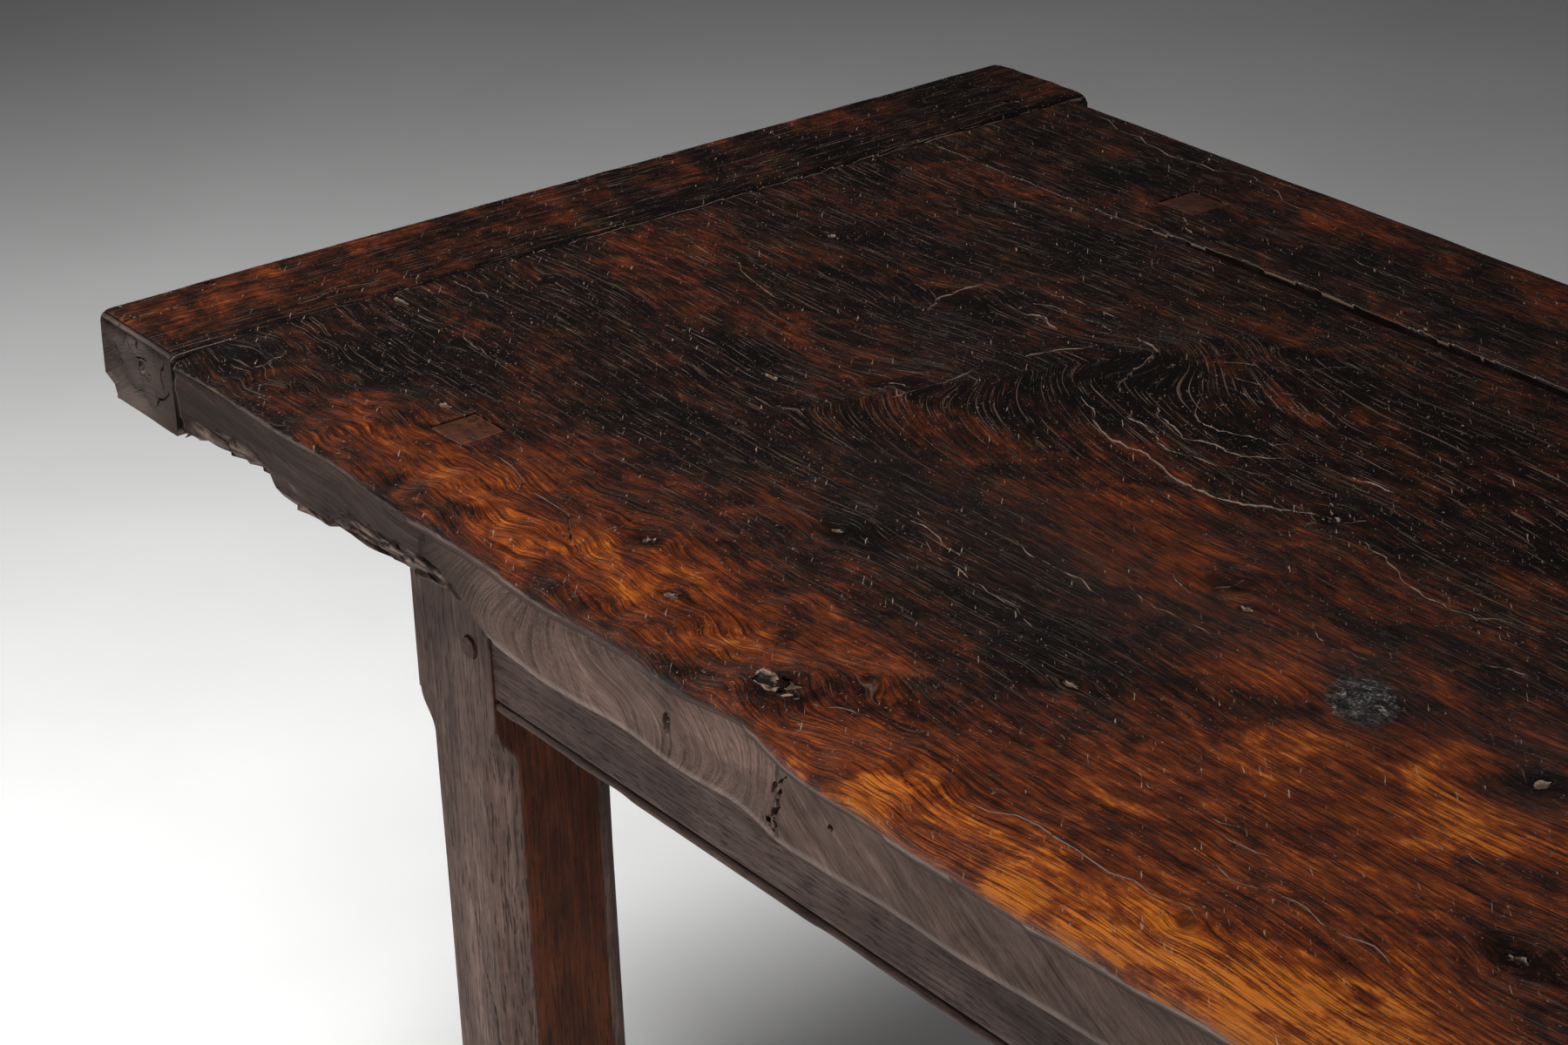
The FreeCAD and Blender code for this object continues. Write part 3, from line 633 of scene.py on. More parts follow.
# Waxed elm: near black in the hollows, red-brown between and amber where hands and sleeves have rubbed it.
# Open pores show as pale broken lines; they are drawn about twice their real width to show at this distance.
def waxed_elm(name):
    material, tree, shader = fresh_material(name)
    grain, tone, marks = [add(tree, "ShaderNodeAttribute", attribute_name=layer)["Vector"]
                          for layer in ("grain", "tone", "marks")]
    across = add(tree, "ShaderNodeSeparateXYZ", {0: grain})[1]
    scorched, amber_and_edge_highlight, handled = add(tree, "ShaderNodeSeparateXYZ", {0: tone})
    knot, crack_shade, special = add(tree, "ShaderNodeSeparateXYZ", {0: marks})
    place = add(tree, "ShaderNodeTexCoord")["Object"]
    aslant = add(tree, "ShaderNodeMapping", {"Vector": place, "Rotation": (0.0, 0.0, 0.7)})[0]
    # Patterns by length, width and depth in millimetres: most lie along the grain, where the third size only
    # keeps one board's pattern apart from the next. Clouds of polish and fine scratches lie across it too.
    apart = 1000 / 7
    figure = {}
    for key, base, sizes, detail, rough, wander in (
        ("streak", grain, (90, 2.3, apart), 3, 0.6, 0.25), ("pore", grain, (34, 0.9, apart), 1, 0.5, 0.25),
        ("vein", grain, (56, 1.0, apart), 3, 0.6, 0.25), ("dash", grain, (22, 3.0, apart), 4, 0.6, 0.25),
        ("burr", grain, (15, 7, apart), 6, 0.7, 0.25), ("patch", grain, (300, 120, apart), 1, 0.5, 0.25),
        ("speck", grain, (2.4, 1.7, apart), 3, 0.7, 0.25), ("break", grain, (60, 4.5, apart), 3, 0.6, 0.25),
        ("cloud", place, (64, 36, 36), 7, 0.64, 0.8), ("scratch", aslant, (13, 1.5, 5), 2, 0.5, 0.6),
    ):
        stretch = add(tree, "ShaderNodeVectorMath", {0: base, 1: [1000 / size for size in sizes]},
                      operation="MULTIPLY")[0]
        figure[key] = add(tree, "ShaderNodeTexNoise", {"Vector": stretch, "Scale": 1.0, "Detail": detail,
                                                       "Roughness": rough, "Distortion": wander})[0]
    # Growth lines, about 4 mm apart on the flat
    spread = add(tree, "ShaderNodeMath", {0: figure["patch"], 1: 5.0}, operation="MULTIPLY")[0]
    rings = add(tree, "ShaderNodeMath", {0: across, 1: 1000 / 4.2, 2: spread}, operation="MULTIPLY_ADD")[0]
    rings = add(tree, "ShaderNodeMath", {0: rings}, operation="FRACT")[0]
    # Where each mark begins and is full, and how strong it gets
    shown = {}
    for key, source, begins, full, strength in (
        ("dashes", figure["dash"], 0.42, 0.58, 1.0), ("line", rings, 0.80, 0.86, 1.0),
        ("gaps", figure["break"], 0.54, 0.61, 1.0), ("sound", knot, 0.85, 1.10, 1.0),
        ("fine", figure["pore"], 0.64, 0.69, 1.0), ("filled", figure["vein"], 0.51, 0.58, 0.74),
        ("glints_and_scratches", figure["speck"], 0.66, 0.70, 0.65), ("scratch", figure["scratch"], 0.70, 0.74, 0.65),
        ("heart", knot, 1.15, 0.55, 0.70), ("thin", rings, 0.88, 0.94, 1.0),
        ("comes", figure["break"], 0.40, 0.62, 0.60), ("lip", crack_shade, 0.25, 0.60, 1.0),
    ):
        shown[key] = add(tree, "ShaderNodeMapRange", {"Value": source, "From Min": begins, "From Max": full,
                                                      "To Max": strength})[0]
    # Rows of open pores along the growth lines, broken along their length, and thin dark lines on bare sides
    for key, first, second in (
        ("gaps", "gaps", "sound"), ("row", "line", "gaps"),
        ("thin", "thin", "comes"), ("thin", "thin", "sound"),
    ):
        shown[key] = add(tree, "ShaderNodeMath", {0: shown[first], 1: shown[second]}, operation="MULTIPLY")[0]
    # The pale flecks are painted glints; the scratches put with them are real
    for key, first, second in (("pores", "row", "fine"), ("glints_and_scratches", "glints_and_scratches", "scratch")):
        shown[key] = add(tree, "ShaderNodeMath", {0: shown[first], 1: shown[second]}, operation="MAXIMUM")[0]
    # Shares held between nothing and full: hands have polished the dust out of the pores where the wood is
    # amber, and one old knot has gone silver
    for key, source, weight, start in (
        ("kept", amber_and_edge_highlight, -1.15, 1.0), ("silver", special, 0.72, 0.0), ("torn", special, -1.0, 0.0),
        ("sooty", scorched, 0.6, 0.0), ("rubbed", amber_and_edge_highlight, 0.5, 0.0),
    ):
        shown[key] = add(tree, "ShaderNodeMath", {0: source, 1: weight, 2: start}, operation="MULTIPLY_ADD",
                         use_clamp=True)[0]
    # Sums of patterns: depth of colour from near black to amber, dust in the pores, the silver knot's scuffs,
    # the dry sides, the layers of torn wood, the ragged border of the wax, the painted highlight and shade of
    # the cracks' walls, and the relief
    for key, start, parts in (
        ("depth", -1.25, ((figure["cloud"], 1.45), (figure["streak"], 0.45), (figure["burr"], 0.80),
                          (shown["dashes"], 0.16), (figure["patch"], 0.25), (amber_and_edge_highlight, 0.48),
                          (scorched, -0.38))),
        ("dust", 0.0, ((shown["row"], 0.42), (shown["fine"], 0.45))),
        ("scuffs", 0.0, ((figure["burr"], 0.6), (figure["speck"], 0.5))),
        ("dry", -0.08, ((figure["streak"], 0.45), (figure["cloud"], 0.40), (figure["speck"], 0.32))),
        ("layers", 0.0, ((figure["streak"], 0.7), (figure["burr"], 0.4))),
        ("border", handled, ((figure["burr"], 0.8),)),
        ("crack_light_and_shade", 0.0, ((crack_shade, 0.33),)),
        ("relief", 0.0, ((shown["pores"], -0.7), (figure["streak"], 0.4), (figure["burr"], 0.9),
                         (figure["vein"], -0.9), (figure["speck"], 0.7))),
    ):
        total = start
        for source, weight in parts:
            total = add(tree, "ShaderNodeMath", {0: source, 1: weight, 2: total}, operation="MULTIPLY_ADD")[0]
        shown[key] = total
    dust = add(tree, "ShaderNodeMath", {0: shown["dust"], 1: shown["kept"]}, operation="MULTIPLY")[0]
    border = add(tree, "ShaderNodeMapRange", {"Value": shown["border"], "From Min": 0.75,
                                              "From Max": 0.98})[0]
    # Colours: waxed top, scuffed silver knot, dry sides, torn wood, and cracks painted pale near their lips
    # as a painted highlight and near black deeper in and on the joint gaps' walls as painted shade
    colours = {}
    for key, stops in (
        ("depth", [(0.00, "#060404"), (0.18, "#0d0706"), (0.34, "#1d0e09"), (0.48, "#33160c"),
                   (0.62, "#4b200d"), (0.76, "#632b0f"), (0.90, "#823f12"), (1.00, "#a05819")]),
        ("scuffs", [(0.46, "#0b0a0a"), (0.55, "#22201f"), (0.63, "#514e4b"), (0.70, "#a09b96")]),
        ("dry", [(0.36, "#362822"), (0.47, "#54423a"), (0.58, "#69554c"), (0.70, "#836d63")]),
        ("layers", [(0.42, "#1c1411"), (0.52, "#473731"), (0.62, "#7a675d"), (0.74, "#a59388")]),
        ("crack_light_and_shade", [(0.12, "#8a7769"), (0.36, "#5c4a3f"), (0.62, "#120c0a")]),
    ):
        colours[key] = add(tree, "ShaderNodeValToRGB", {"Fac": shown[key]}, stops)["Color"]
    # Coats, each over the one before: soot and wax that fill the closed pores, pale dust, pale flecks that
    # are painted glints, with real scratches, dark hearts of knots and silver on the top; growth lines, soot,
    # a pale coat that is real rubbing near the top and a painted highlight along the lower edge, and torn
    # wood on the bare sides
    waxed = [(shown["filled"], linear("#0d0605")), (dust, linear("#6a5648")),
             (shown["glints_and_scratches"], linear("#94806f")), (shown["heart"], linear("#0a0706")),
             (shown["silver"], colours["scuffs"])]
    # On the bare sides the pale rubbed coat is real rubbing near the top and a painted highlight along the
    # lower edge
    bare = [(shown["thin"], linear("#1f1714")), (shown["sooty"], linear("#1a1311")),
            (shown["rubbed"], linear("#8d7d74")), (shown["torn"], colours["layers"])]
    for key, coats in (("depth", waxed), ("dry", bare)):
        for share, coat in coats:
            under = colours[key]
            colours[key] = add(tree, "ShaderNodeMix", {0: share, 6: under, 7: coat}, data_type="RGBA")[2]
    colour = colours["dry"]
    for share, coat in ((border, colours["depth"]), (shown["lip"], colours["crack_light_and_shade"])):
        colour = add(tree, "ShaderNodeMix", {0: share, 6: colour, 7: coat}, data_type="RGBA")[2]
    tree.links.new(colour, shader.inputs["Base Color"])
    # Wax shines, most where it is rubbed, and the open pores and bare sides are dull
    gloss = add(tree, "ShaderNodeMapRange", {"Value": border, "To Min": 0.74, "To Max": 0.36})[0]
    for source, weight in ((shown["pores"], 0.25), (amber_and_edge_highlight, -0.08)):
        gloss = add(tree, "ShaderNodeMath", {0: source, 1: weight, 2: gloss}, operation="MULTIPLY_ADD")[0]
    tree.links.new(gloss, shader.inputs["Roughness"])
    shader.inputs["Specular IOR Level"].default_value = 0.16
    bump = add(tree, "ShaderNodeBump", {"Height": shown["relief"], "Strength": 1.0, "Distance": 0.0008})
    tree.links.new(bump[0], shader.inputs["Normal"])
    return material


def dress(piece, material, nodes):
    # Smooth faces with crisp cracks, one material, and the piece stands for its nodes
    piece.data.materials.clear()
    piece.data.materials.append(material)
    piece.data.polygons.foreach_set("use_smooth", [True] * len(piece.data.polygons))
    piece.data.set_sharp_from_angle(angle=math.radians(42))
    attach(piece, "root")
    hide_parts(*nodes)


elm = waxed_elm("waxed_elm")
dress(main_board, elm, ["main_board"])

# Back board: a narrow elm plank behind the main one, held level with it by loose tenons. It has shrunk away
# from the joint along its middle, and its outer edge is straighter and less worn than the front.

back_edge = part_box("back_board")[1][1]
back_walls = walls_of("back_board")


def back_height(x, y):
    z = table_top - 0.0009 + 0.0007 * drift(x / 0.30, y / 0.09, 103) + 0.0004 * drift(x / 0.09, y / 0.03, 104)
    return z + 0.0002 * drift(x / 0.05, y / 0.009, 105)


drops = np.array([0.056, 0.046, 0.036, 0.026, 0.016, 0.009, 0.005, 0.0028, 0.0012])
rings = []
for x in places:
    ray_x = min(max(x, -within_end), within_end)
    end_gap = min(x + board_end, board_end - x)
    hit = back_walls.ray_cast(Vector((ray_x, joint_y - 0.02, table_top - 0.006)), Vector((0, 1, 0)))[0]
    near_edge = max(hit.y, joint_y + 0.0004)
    near_edge += np.interp(x, [x_of(k) for k in (330, 400, 1100, 1700)], [0, 0.0040, 0.0040, 0])
    near_edge += 0.0009 * float(drift(x / 0.013, 0.5, 106)) * min(1, (near_edge - joint_y) / 0.002)
    tops = np.concatenate([[back_edge - 0.004], np.linspace(back_edge - 0.008, near_edge + past_edge, 28),
                           [near_edge + gap for gap in reversed(edge_gaps)]])
    heights = back_height(x, tops)
    heights -= 0.0024 * np.exp(-(tops - near_edge) / 0.0024) * (1.1 + 0.6 * drift(x / 0.018, 0, 107))
    heights -= 0.0012 * np.exp(-(back_edge - tops - 0.004) / 0.006)
    end_wear = 0.0024 * math.exp(-end_gap / 0.0022)
    heights -= end_wear * (1.1 + 0.6 * drift(tops / 0.018, 0, 108))
    shift = 0.0012 * math.exp(-end_gap / 0.004) * (1 if x < 0 else -1)
    loop = [(x + shift, y, z) for y, z in zip(tops, heights)]
    loop += [(x + shift, near_edge, z) for z in np.linspace(heights[-1] - 0.006, under_top + 0.004, 5)]
    loop += [(x + shift, y, under_top + 0.0005) for y in np.linspace(near_edge + 0.002, back_edge - 0.001, 9)]
    face = [back_walls.ray_cast(Vector((ray_x, 0.6, table_top - d)), Vector((0, -1, 0)))[0].y for d in drops]
    face = np.array(face) - 0.0007 + 0.0007 * drift(x / 0.05, drops / 0.02, 109)
    loop += [(x + shift, y, table_top - d - 0.0012) for y, d in zip(face, drops)]
    rings.append(loop)
back_board = skin("back_board_skin", rings)

back_shakes = [
    (1.4, 2.0, [(118, 770), (210, 766), (330, 770), (470, 764)]),
    (1.2, 1.5, [(420, 700), (520, 706), (600, 702)]),
    (1.6, 2.0, [(356, 676), (372, 664), (392, 658)]),
    (1.5, 2.0, [(780, 742), (900, 748), (1010, 742)]),
    (1.6, 2.5, [(1500, 720), (1620, 726), (1720, 720)]),
]
cutters = [mortise("leg_back_left", tenon_play), mortise("leg_back_right", tenon_play)]
cutters += shake_wedges(back_shakes, back_height, 140)
cut_away(back_board, cutters)

back_scorch = [(280, 748, 40, 30, 0.8), (268, 706, 28, 20, 0.7), (150, 700, 40, 30, 0.5),
               (560, 690, 90, 20, 0.4), (900, 720, 120, 30, 0.4), (1400, 730, 160, 30, 0.6),
               (1800, 700, 120, 30, 0.6)]
back_rubbed = [(430, 740, 120, 30, 0.35), (700, 760, 160, 26, 0.4), (1100, 740, 150, 30, 0.3),
               (1650, 760, 160, 24, 0.3)]
mesh = back_board.data
x, y, z = corners_of(mesh).T
wander = 0.004 * drift(x / 0.25, y / 0.08, 120) + 0.0015 * drift(x / 0.06, y / 0.04, 121)
down_edge = np.where(y > back_edge - 0.004, z - table_top, 0)
mark(mesh, "grain", x, y + wander - down_edge, 0.7)
handled = np.clip(1 - (table_top - z - 0.010) / 0.010, 0, 1)
mark(mesh, "tone", blobs(x, y, back_scorch), blobs(x, y, back_rubbed), handled)
depth = back_height(x, y) - z
# Cracks and the joint gap are painted by depth as on the main board: a pale painted highlight near the lip,
# near black painted shade deeper in
inside = (depth > 0.0006) & (depth < 0.0040) & (y < back_edge - 0.012) & (y > joint_y + 0.014)
inside &= np.abs(x) < board_end - 0.006
shaded_gap_wall = (np.abs(x) > board_end - 0.004) | (y < joint_y + 0.0125)
shaded_gap_wall &= (depth > 0.0022) & (z > under_top + 0.002)
shade_depth_of_cracks = np.where(inside, depth, 0) + np.where(shaded_gap_wall, 0.004, 0)
mark(mesh, "marks", far_from_knots, shade_depth_of_cracks * 1000, 0)
dress(back_board, elm, ["back_board"])

# Cleats: cross pieces that cap the boards' ends, grooved over their tongues and pegged from below. Elm again,
# with the grain running across the table; the left one has split at its front end and lost a splinter.

cleat_width = 0.110


def cleat_skin(node, side):
    walls = walls_of(node)
    low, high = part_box(node)
    inner = side * board_end
    ends = [0.0004, 0.0012, 0.0026, 0.0045, 0.007, 0.0105]
    stations = [low[1] + e for e in ends] + list(np.arange(low[1] + 0.0145, high[1] - 0.0145, 0.0042))
    stations += [high[1] - e for e in reversed(ends)]
    drops = np.array([0.0012, 0.0025, 0.0045, 0.007, 0.011, 0.016, 0.022, 0.028, 0.034, 0.040, 0.046, 0.051,
                      0.056, 0.060])
    seed = 200 if side < 0 else 230
    rings = []
    for y in stations:
        sides = []
        for d in drops:
            hit = walls.ray_cast(Vector((side * 1.3, y, table_top - d)), Vector((-side, 0, 0)))[0]
            sides.append(hit.x if hit else None)
        solid = [px for px in sides if px is not None]
        sides = np.array([solid[0] if px is None else px for px in sides])
        start = sides[4] - side * 0.0072
        tops = np.concatenate([[inner + side * gap for gap in edge_gaps],
                               np.linspace(inner + side * past_edge, start, 24)])
        heights = []
        for px in tops:
            hit = walls.ray_cast(Vector((px + side * 0.0002, y, table_top + 0.1)), Vector((0, 0, -1)))[0]
            heights.append(hit.z if hit else table_top - 0.007)
        heights = np.array(heights) - 0.0008 + 0.0009 * drift(tops / 0.06, y / 0.22, seed)
        heights += 0.0005 * drift(tops / 0.012, y / 0.09, seed + 1)
        heights += 0.0003 * drift(tops / 0.02, y / 0.02, seed + 2)
        arris_wear = 1.1 + 0.6 * drift(y / 0.017, 0, seed + 3)
        heights -= 0.0026 * np.exp(-np.abs(tops - inner) / 0.0022) * arris_wear
        wear = 0.0008 * drift(y / 0.05, drops / 0.02, seed + 4)
        wear += 0.0004 * drift(y / 0.014, drops / 0.008, seed + 5)
        sides = sides - side * (0.0008 + wear)
        side_z = np.minimum(table_top - drops - 0.0010, heights[-1] - 0.0004)
        loop = [(px, y, pz) for px, pz in zip(tops, heights)]
        loop += [(px, y, pz) for px, pz in zip(sides, side_z)]
        floor_x = np.linspace(sides[-1] - side * 0.004, inner + side * 0.001, 9)
        under = under_top + 0.0008 + 0.0007 * drift(floor_x / 0.03, y / 0.05, seed + 6)
        loop += [(px, y, pz) for px, pz in zip(floor_x, under)]
        loop += [(inner, y, pz) for pz in np.linspace(under_top + 0.012, heights[0] - 0.008, 4)]
        rings.append(loop)
    piece = skin(node + "_skin", rings, (0.93, 0.84, 0.74, 0.63, 0.52, 0.40, 0.28, 0.15))
    # Weathered end grain: the heartwood has sunk, and a step runs down where a splinter came away
    co = corners_of(piece.data)
    for end, way in ((low[1], 1), (high[1], -1)):
        across, up = np.abs(co[:, 0]) - board_end, co[:, 2] - under_top
        within = np.minimum(np.minimum(across, cleat_width - across), np.minimum(up, top_thickness - up))
        sunk = 0.0028 + 0.0026 * drift(across / 0.016, up / 0.022, seed + 7)
        sunk = sunk + 0.0016 * drift(across / 0.006, up / 0.010, seed + 8)
        sunk = sunk + np.where(across > 0.052 + 0.004 * drift(up / 0.012, 0, seed + 9), 0.0022, 0)
        capped = np.abs(co[:, 1] - end) < 0.0006
        hollowed = np.clip(sunk, 0, 0.007) * np.clip((within - 0.002) / 0.006, 0, 1)
        co[:, 1] += np.where(capped, way * hollowed, 0)
    piece.data.vertices.foreach_set("co", co.ravel())
    return piece


# Marks of the left cleat (-1) and the right one (1), given as the boards' marks are
cleat_scorch = {
    -1: [(55, 720, 60, 34, 0.7), (92, 412, 18, 40, 0.8), (27, 502, 16, 8, 1.2), (50, 130, 20, 30, 0.4),
         (90, 70, 16, 30, 0.4), (30, 300, 30, 40, 0.3), (70, 560, 30, 60, 0.4)],
    1: [(2050, 600, 50, 60, 0.6), (2070, 200, 40, 80, 0.6), (2030, 420, 30, 60, 0.5)],
}
cleat_rubbed = {
    -1: [(12, 260, 16, 160, 0.5), (50, 340, 20, 140, 0.35), (20, 640, 20, 100, 0.45),
         (100, 200, 14, 120, 0.4), (45, 60, 40, 80, 0.55), (60, 250, 26, 90, 0.3), (80, 780, 20, 22, 0.5)],
    1: [(2090, 300, 16, 180, 0.5), (2050, 500, 24, 140, 0.35), (2020, 120, 16, 120, 0.4)],
}
cleat_splits = {
    -1: [(2.6, 9.0, [(30, -6), (31, 6), (29, 22), (32, 40), (35, 60)]),
         (1.6, 3.0, [(60, 470), (64, 520), (58, 585)]), (1.4, 2.5, [(82, 90), (78, 150), (82, 205)]),
         (2.2, 3.0, [(76, 738), (82, 746), (90, 750)]), (1.6, 2.5, [(22, 330), (26, 390), (22, 450)]),
         (1.5, 3.0, [(48, 700), (44, 760), (47, 806)])],
    1: [(2.0, 6.0, [(2040, -4), (2043, 30), (2038, 80)]),
        (1.6, 3.0, [(2070, 420), (2074, 500), (2068, 570)])],
}


def cleat_height(x, y):
    return np.full_like(x, table_top - 0.0008)


for side, node in ((-1, "left_cleat"), (1, "right_cleat")):
    cleat = cleat_skin(node, side)
    cutters = shake_wedges(cleat_splits[side], cleat_height, 240 + 10 * side)
    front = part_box(node)[0][1]
    if side < 0:
        # The split runs down the end grain, with shakes and small rot holes beside it
        for n, path in enumerate([
            [(30, -1), (32, 10), (28, 22), (40, 31)], [(62, 26), (68, 34), (78, 47)],
            [(50, 22), (58, 18), (70, 24)], [(12, 10), (18, 26), (14, 46)], [(90, 8), (84, 24), (88, 44)],
            [(22, 46), (40, 50), (58, 46)], [(96, 34), (86, 40), (70, 52)], [(48, 5), (52, 20), (47, 40)],
        ]):
            line = [(x_of(along), front + 0.0006, table_top - deep / 1000) for along, deep in path]
            cutters.append(split_wedge(line, Vector((0, 1, 0)), 0.0030, 0.008, 260 + n))
        for n, (along, deep, size) in enumerate([
            (60, 24, 4), (14, 22, 3.5), (16, 34, 3), (42, 18, 2.5), (70, 28, 2.5),
        ]):
            centre = (x_of(along), front + 0.0006, table_top - deep / 1000)
            cutters.append(hollow(centre, (size / 1000, 0.003, 1.5 * size / 1000), 270 + n, 0.4))
        cutters.append(hollow((*on_top(8, 84), table_top - 0.001), (0.005, 0.004, 0.003), 280))
        cutters.append(hollow((*on_top(82, 744), table_top - 0.001), (0.003, 0.003, 0.004), 281))
    cut_away(cleat, cutters)
    mesh = cleat.data
    x, y, z = corners_of(mesh).T
    low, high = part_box(node)
    wander = 0.004 * drift(x / 0.06, y / 0.25, 290) + 0.0015 * drift(x / 0.03, y / 0.06, 291)
    # The lines go on round the outer edge and down the side
    round_side = np.clip(side * x - 1.045, 0, 1) + np.clip(table_top - 0.004 - z, 0, 1)
    across = np.abs(x) - board_end
    within = np.minimum(np.minimum(across, cleat_width - across), np.minimum(z - under_top, table_top - z))
    capped = (y < low[1] + 0.0009) | (y > high[1] - 0.0009)
    capped |= ((y < low[1] + 0.0075) | (y > high[1] - 0.0075)) & (within > 0.0022)
    # End grain: rings round a heart that lay below the section
    from_heart = np.hypot(x - side * 0.985, (z - under_top + 0.035) * 1.2)
    turned = np.arctan2(z - under_top + 0.035, x - side * 0.985) * 0.06
    crosswise = np.where(capped, from_heart, x + wander + round_side)
    mark(mesh, "grain", np.where(capped, turned, y), crosswise, 1.3 + side)
    edge = np.maximum(np.abs(z - table_top) - 0.012, 0) / 0.012
    handled = np.clip(1 - edge, 0, 1) * np.where(capped, 0, 1)
    end_soot = np.where(capped, 1.3, 0.7 * np.exp(-across / 0.004))
    soot = blobs(x, y, cleat_scorch[side]) + end_soot + 0.1
    mark(mesh, "tone", soot, blobs(x, y, cleat_rubbed[side]), handled)
    depth = table_top - 0.0006 - z
    # Cracks and the groove's walls by the board ends are painted by depth: a pale painted highlight near the
    # lip, near black painted shade deeper in
    inside = (depth > 0.0016) & (depth < 0.009) & (side * x < 1.043) & (side * x > 0.950)
    inside &= (y > low[1] + 0.012) & (y < high[1] - 0.012)
    shaded_gap_wall = (depth > 0.0028) & (side * x < board_end + 0.0010) & (z > under_top + 0.002) & ~capped
    shade_depth_of_cracks = np.where(inside, depth, 0) + np.where(shaded_gap_wall, 0.004, 0)
    mark(mesh, "marks", far_from_knots, shade_depth_of_cracks * 1000, 0)
    dress(cleat, elm, [node])

# Legs: four square oak posts with stopped chamfers, each stop a small ogee called a lamb's tongue. A through
# tenon on top of each shows in the boards; mortises in the inner faces take the rails.

leg_height = under_top
rail_height = 0.117
stop_high = leg_height - rail_height - 0.015
stop_low = 0.130
stop_length = 0.029
stop_step = 0.0030
outer_chamfer = 0.017
inner_chamfer = 0.012
peg_inset = 0.0255


def chamfer_at(z, full):
    # How far the chamfer takes each face back at this height
    rise = np.clip(np.minimum(stop_high - z, z - stop_low) / stop_length, 0, 1)
    ogee = np.where(rise < 0.5, 2 * rise * rise, 1 - 2 * (1 - rise) ** 2)
    return np.where((z > stop_high) | (z < stop_low), 0.0014, stop_step + (full - stop_step) * ogee)


def leg_skin(name, middle, side_x, side_y, seed):
    stations = [0.0003, 0.0018, 0.004, 0.008]
    stations += list(np.arange(0.014, stop_low - 0.002, 0.008)) + [stop_low - 0.0006]
    stations += list(np.linspace(stop_low + 0.0006, stop_low + stop_length, 16))
    stations += list(np.arange(stop_low + stop_length + 0.005, stop_high - stop_length - 0.003, 0.0065))
    stations += list(np.linspace(stop_high - stop_length, stop_high - 0.0006, 16)) + [stop_high + 0.0006]
    stations += list(np.arange(stop_high + 0.006, leg_height - 0.003, 0.0065)) + [leg_height - 0.0004]
    rings = []
    for z in stations:
        # The foot's edge is worn off where it meets the floor
        half = leg_half - 0.004 * max(0.0, 1 - z / 0.004)
        loop = []
        order = [(-1, -1), (1, -1), (1, 1), (-1, 1)]
        chamfers = [float(chamfer_at(z, inner_chamfer if spot == (-side_x, -side_y) else outer_chamfer))
                    for spot in order]
        # Five points across each corner's chamfer, then seventeen along the face to the next corner
        for k, (ax, ay) in enumerate(order):
            nx, ny = order[(k + 1) % 4]
            c, c_next = chamfers[k], chamfers[(k + 1) % 4]
            into = np.array([ax, ay]) * half
            out = np.array([nx, ny]) * half
            way = (out - into) / (2 * half)
            prev = order[k - 1]
            back_way = np.array([prev[0] - ax, prev[1] - ay]) / 2
            start, end = into + back_way * c, into + way * c
            for t in (0.06, 0.28, 0.5, 0.72, 0.94):
                loop.append(start + (end - start) * t)
            stop = out - way * c_next
            for t in np.concatenate([[0.012], np.linspace(0.05, 0.95, 15), [0.988]]):
                loop.append(end + (stop - end) * t)
        loop = np.array(loop)
        turn = np.arange(len(loop)) / len(loop)
        inwards = -loop / np.maximum(np.linalg.norm(loop, axis=1), 1e-6)[:, None]
        wear = 0.0003 + 0.0003 * drift(turn * 16, z / 0.14, seed)
        wear += 0.0001 * drift(turn * 44, z / 0.05, seed + 1)
        loop = loop + inwards * wear[:, None]
        rings.append([(middle[0] + px, middle[1] + py, z) for px, py in loop])
    return skin(name, rings)


def tenon_block(leg_name):
    # Through tenon on the leg's top, its end grain a hair below the boards and bruised round its edge
    ring = mortise(leg_name, 0.0)[0][:4]
    bruised = mortise(leg_name, -0.0016)[0][:4]
    verts = [(px, py, leg_height - 0.002) for px, py, _ in ring]
    verts += [(px, py, table_top - 0.0016) for px, py, _ in ring]
    verts += [(px, py, table_top - 0.0009) for px, py, _ in bruised]
    faces = [(0, 1, 2, 3), (8, 9, 10, 11)]
    for k in range(4):
        m = (k + 1) % 4
        faces += [(k, m, m + 4, k + 4), (k + 4, m + 4, m + 8, k + 8)]
    return verts, faces


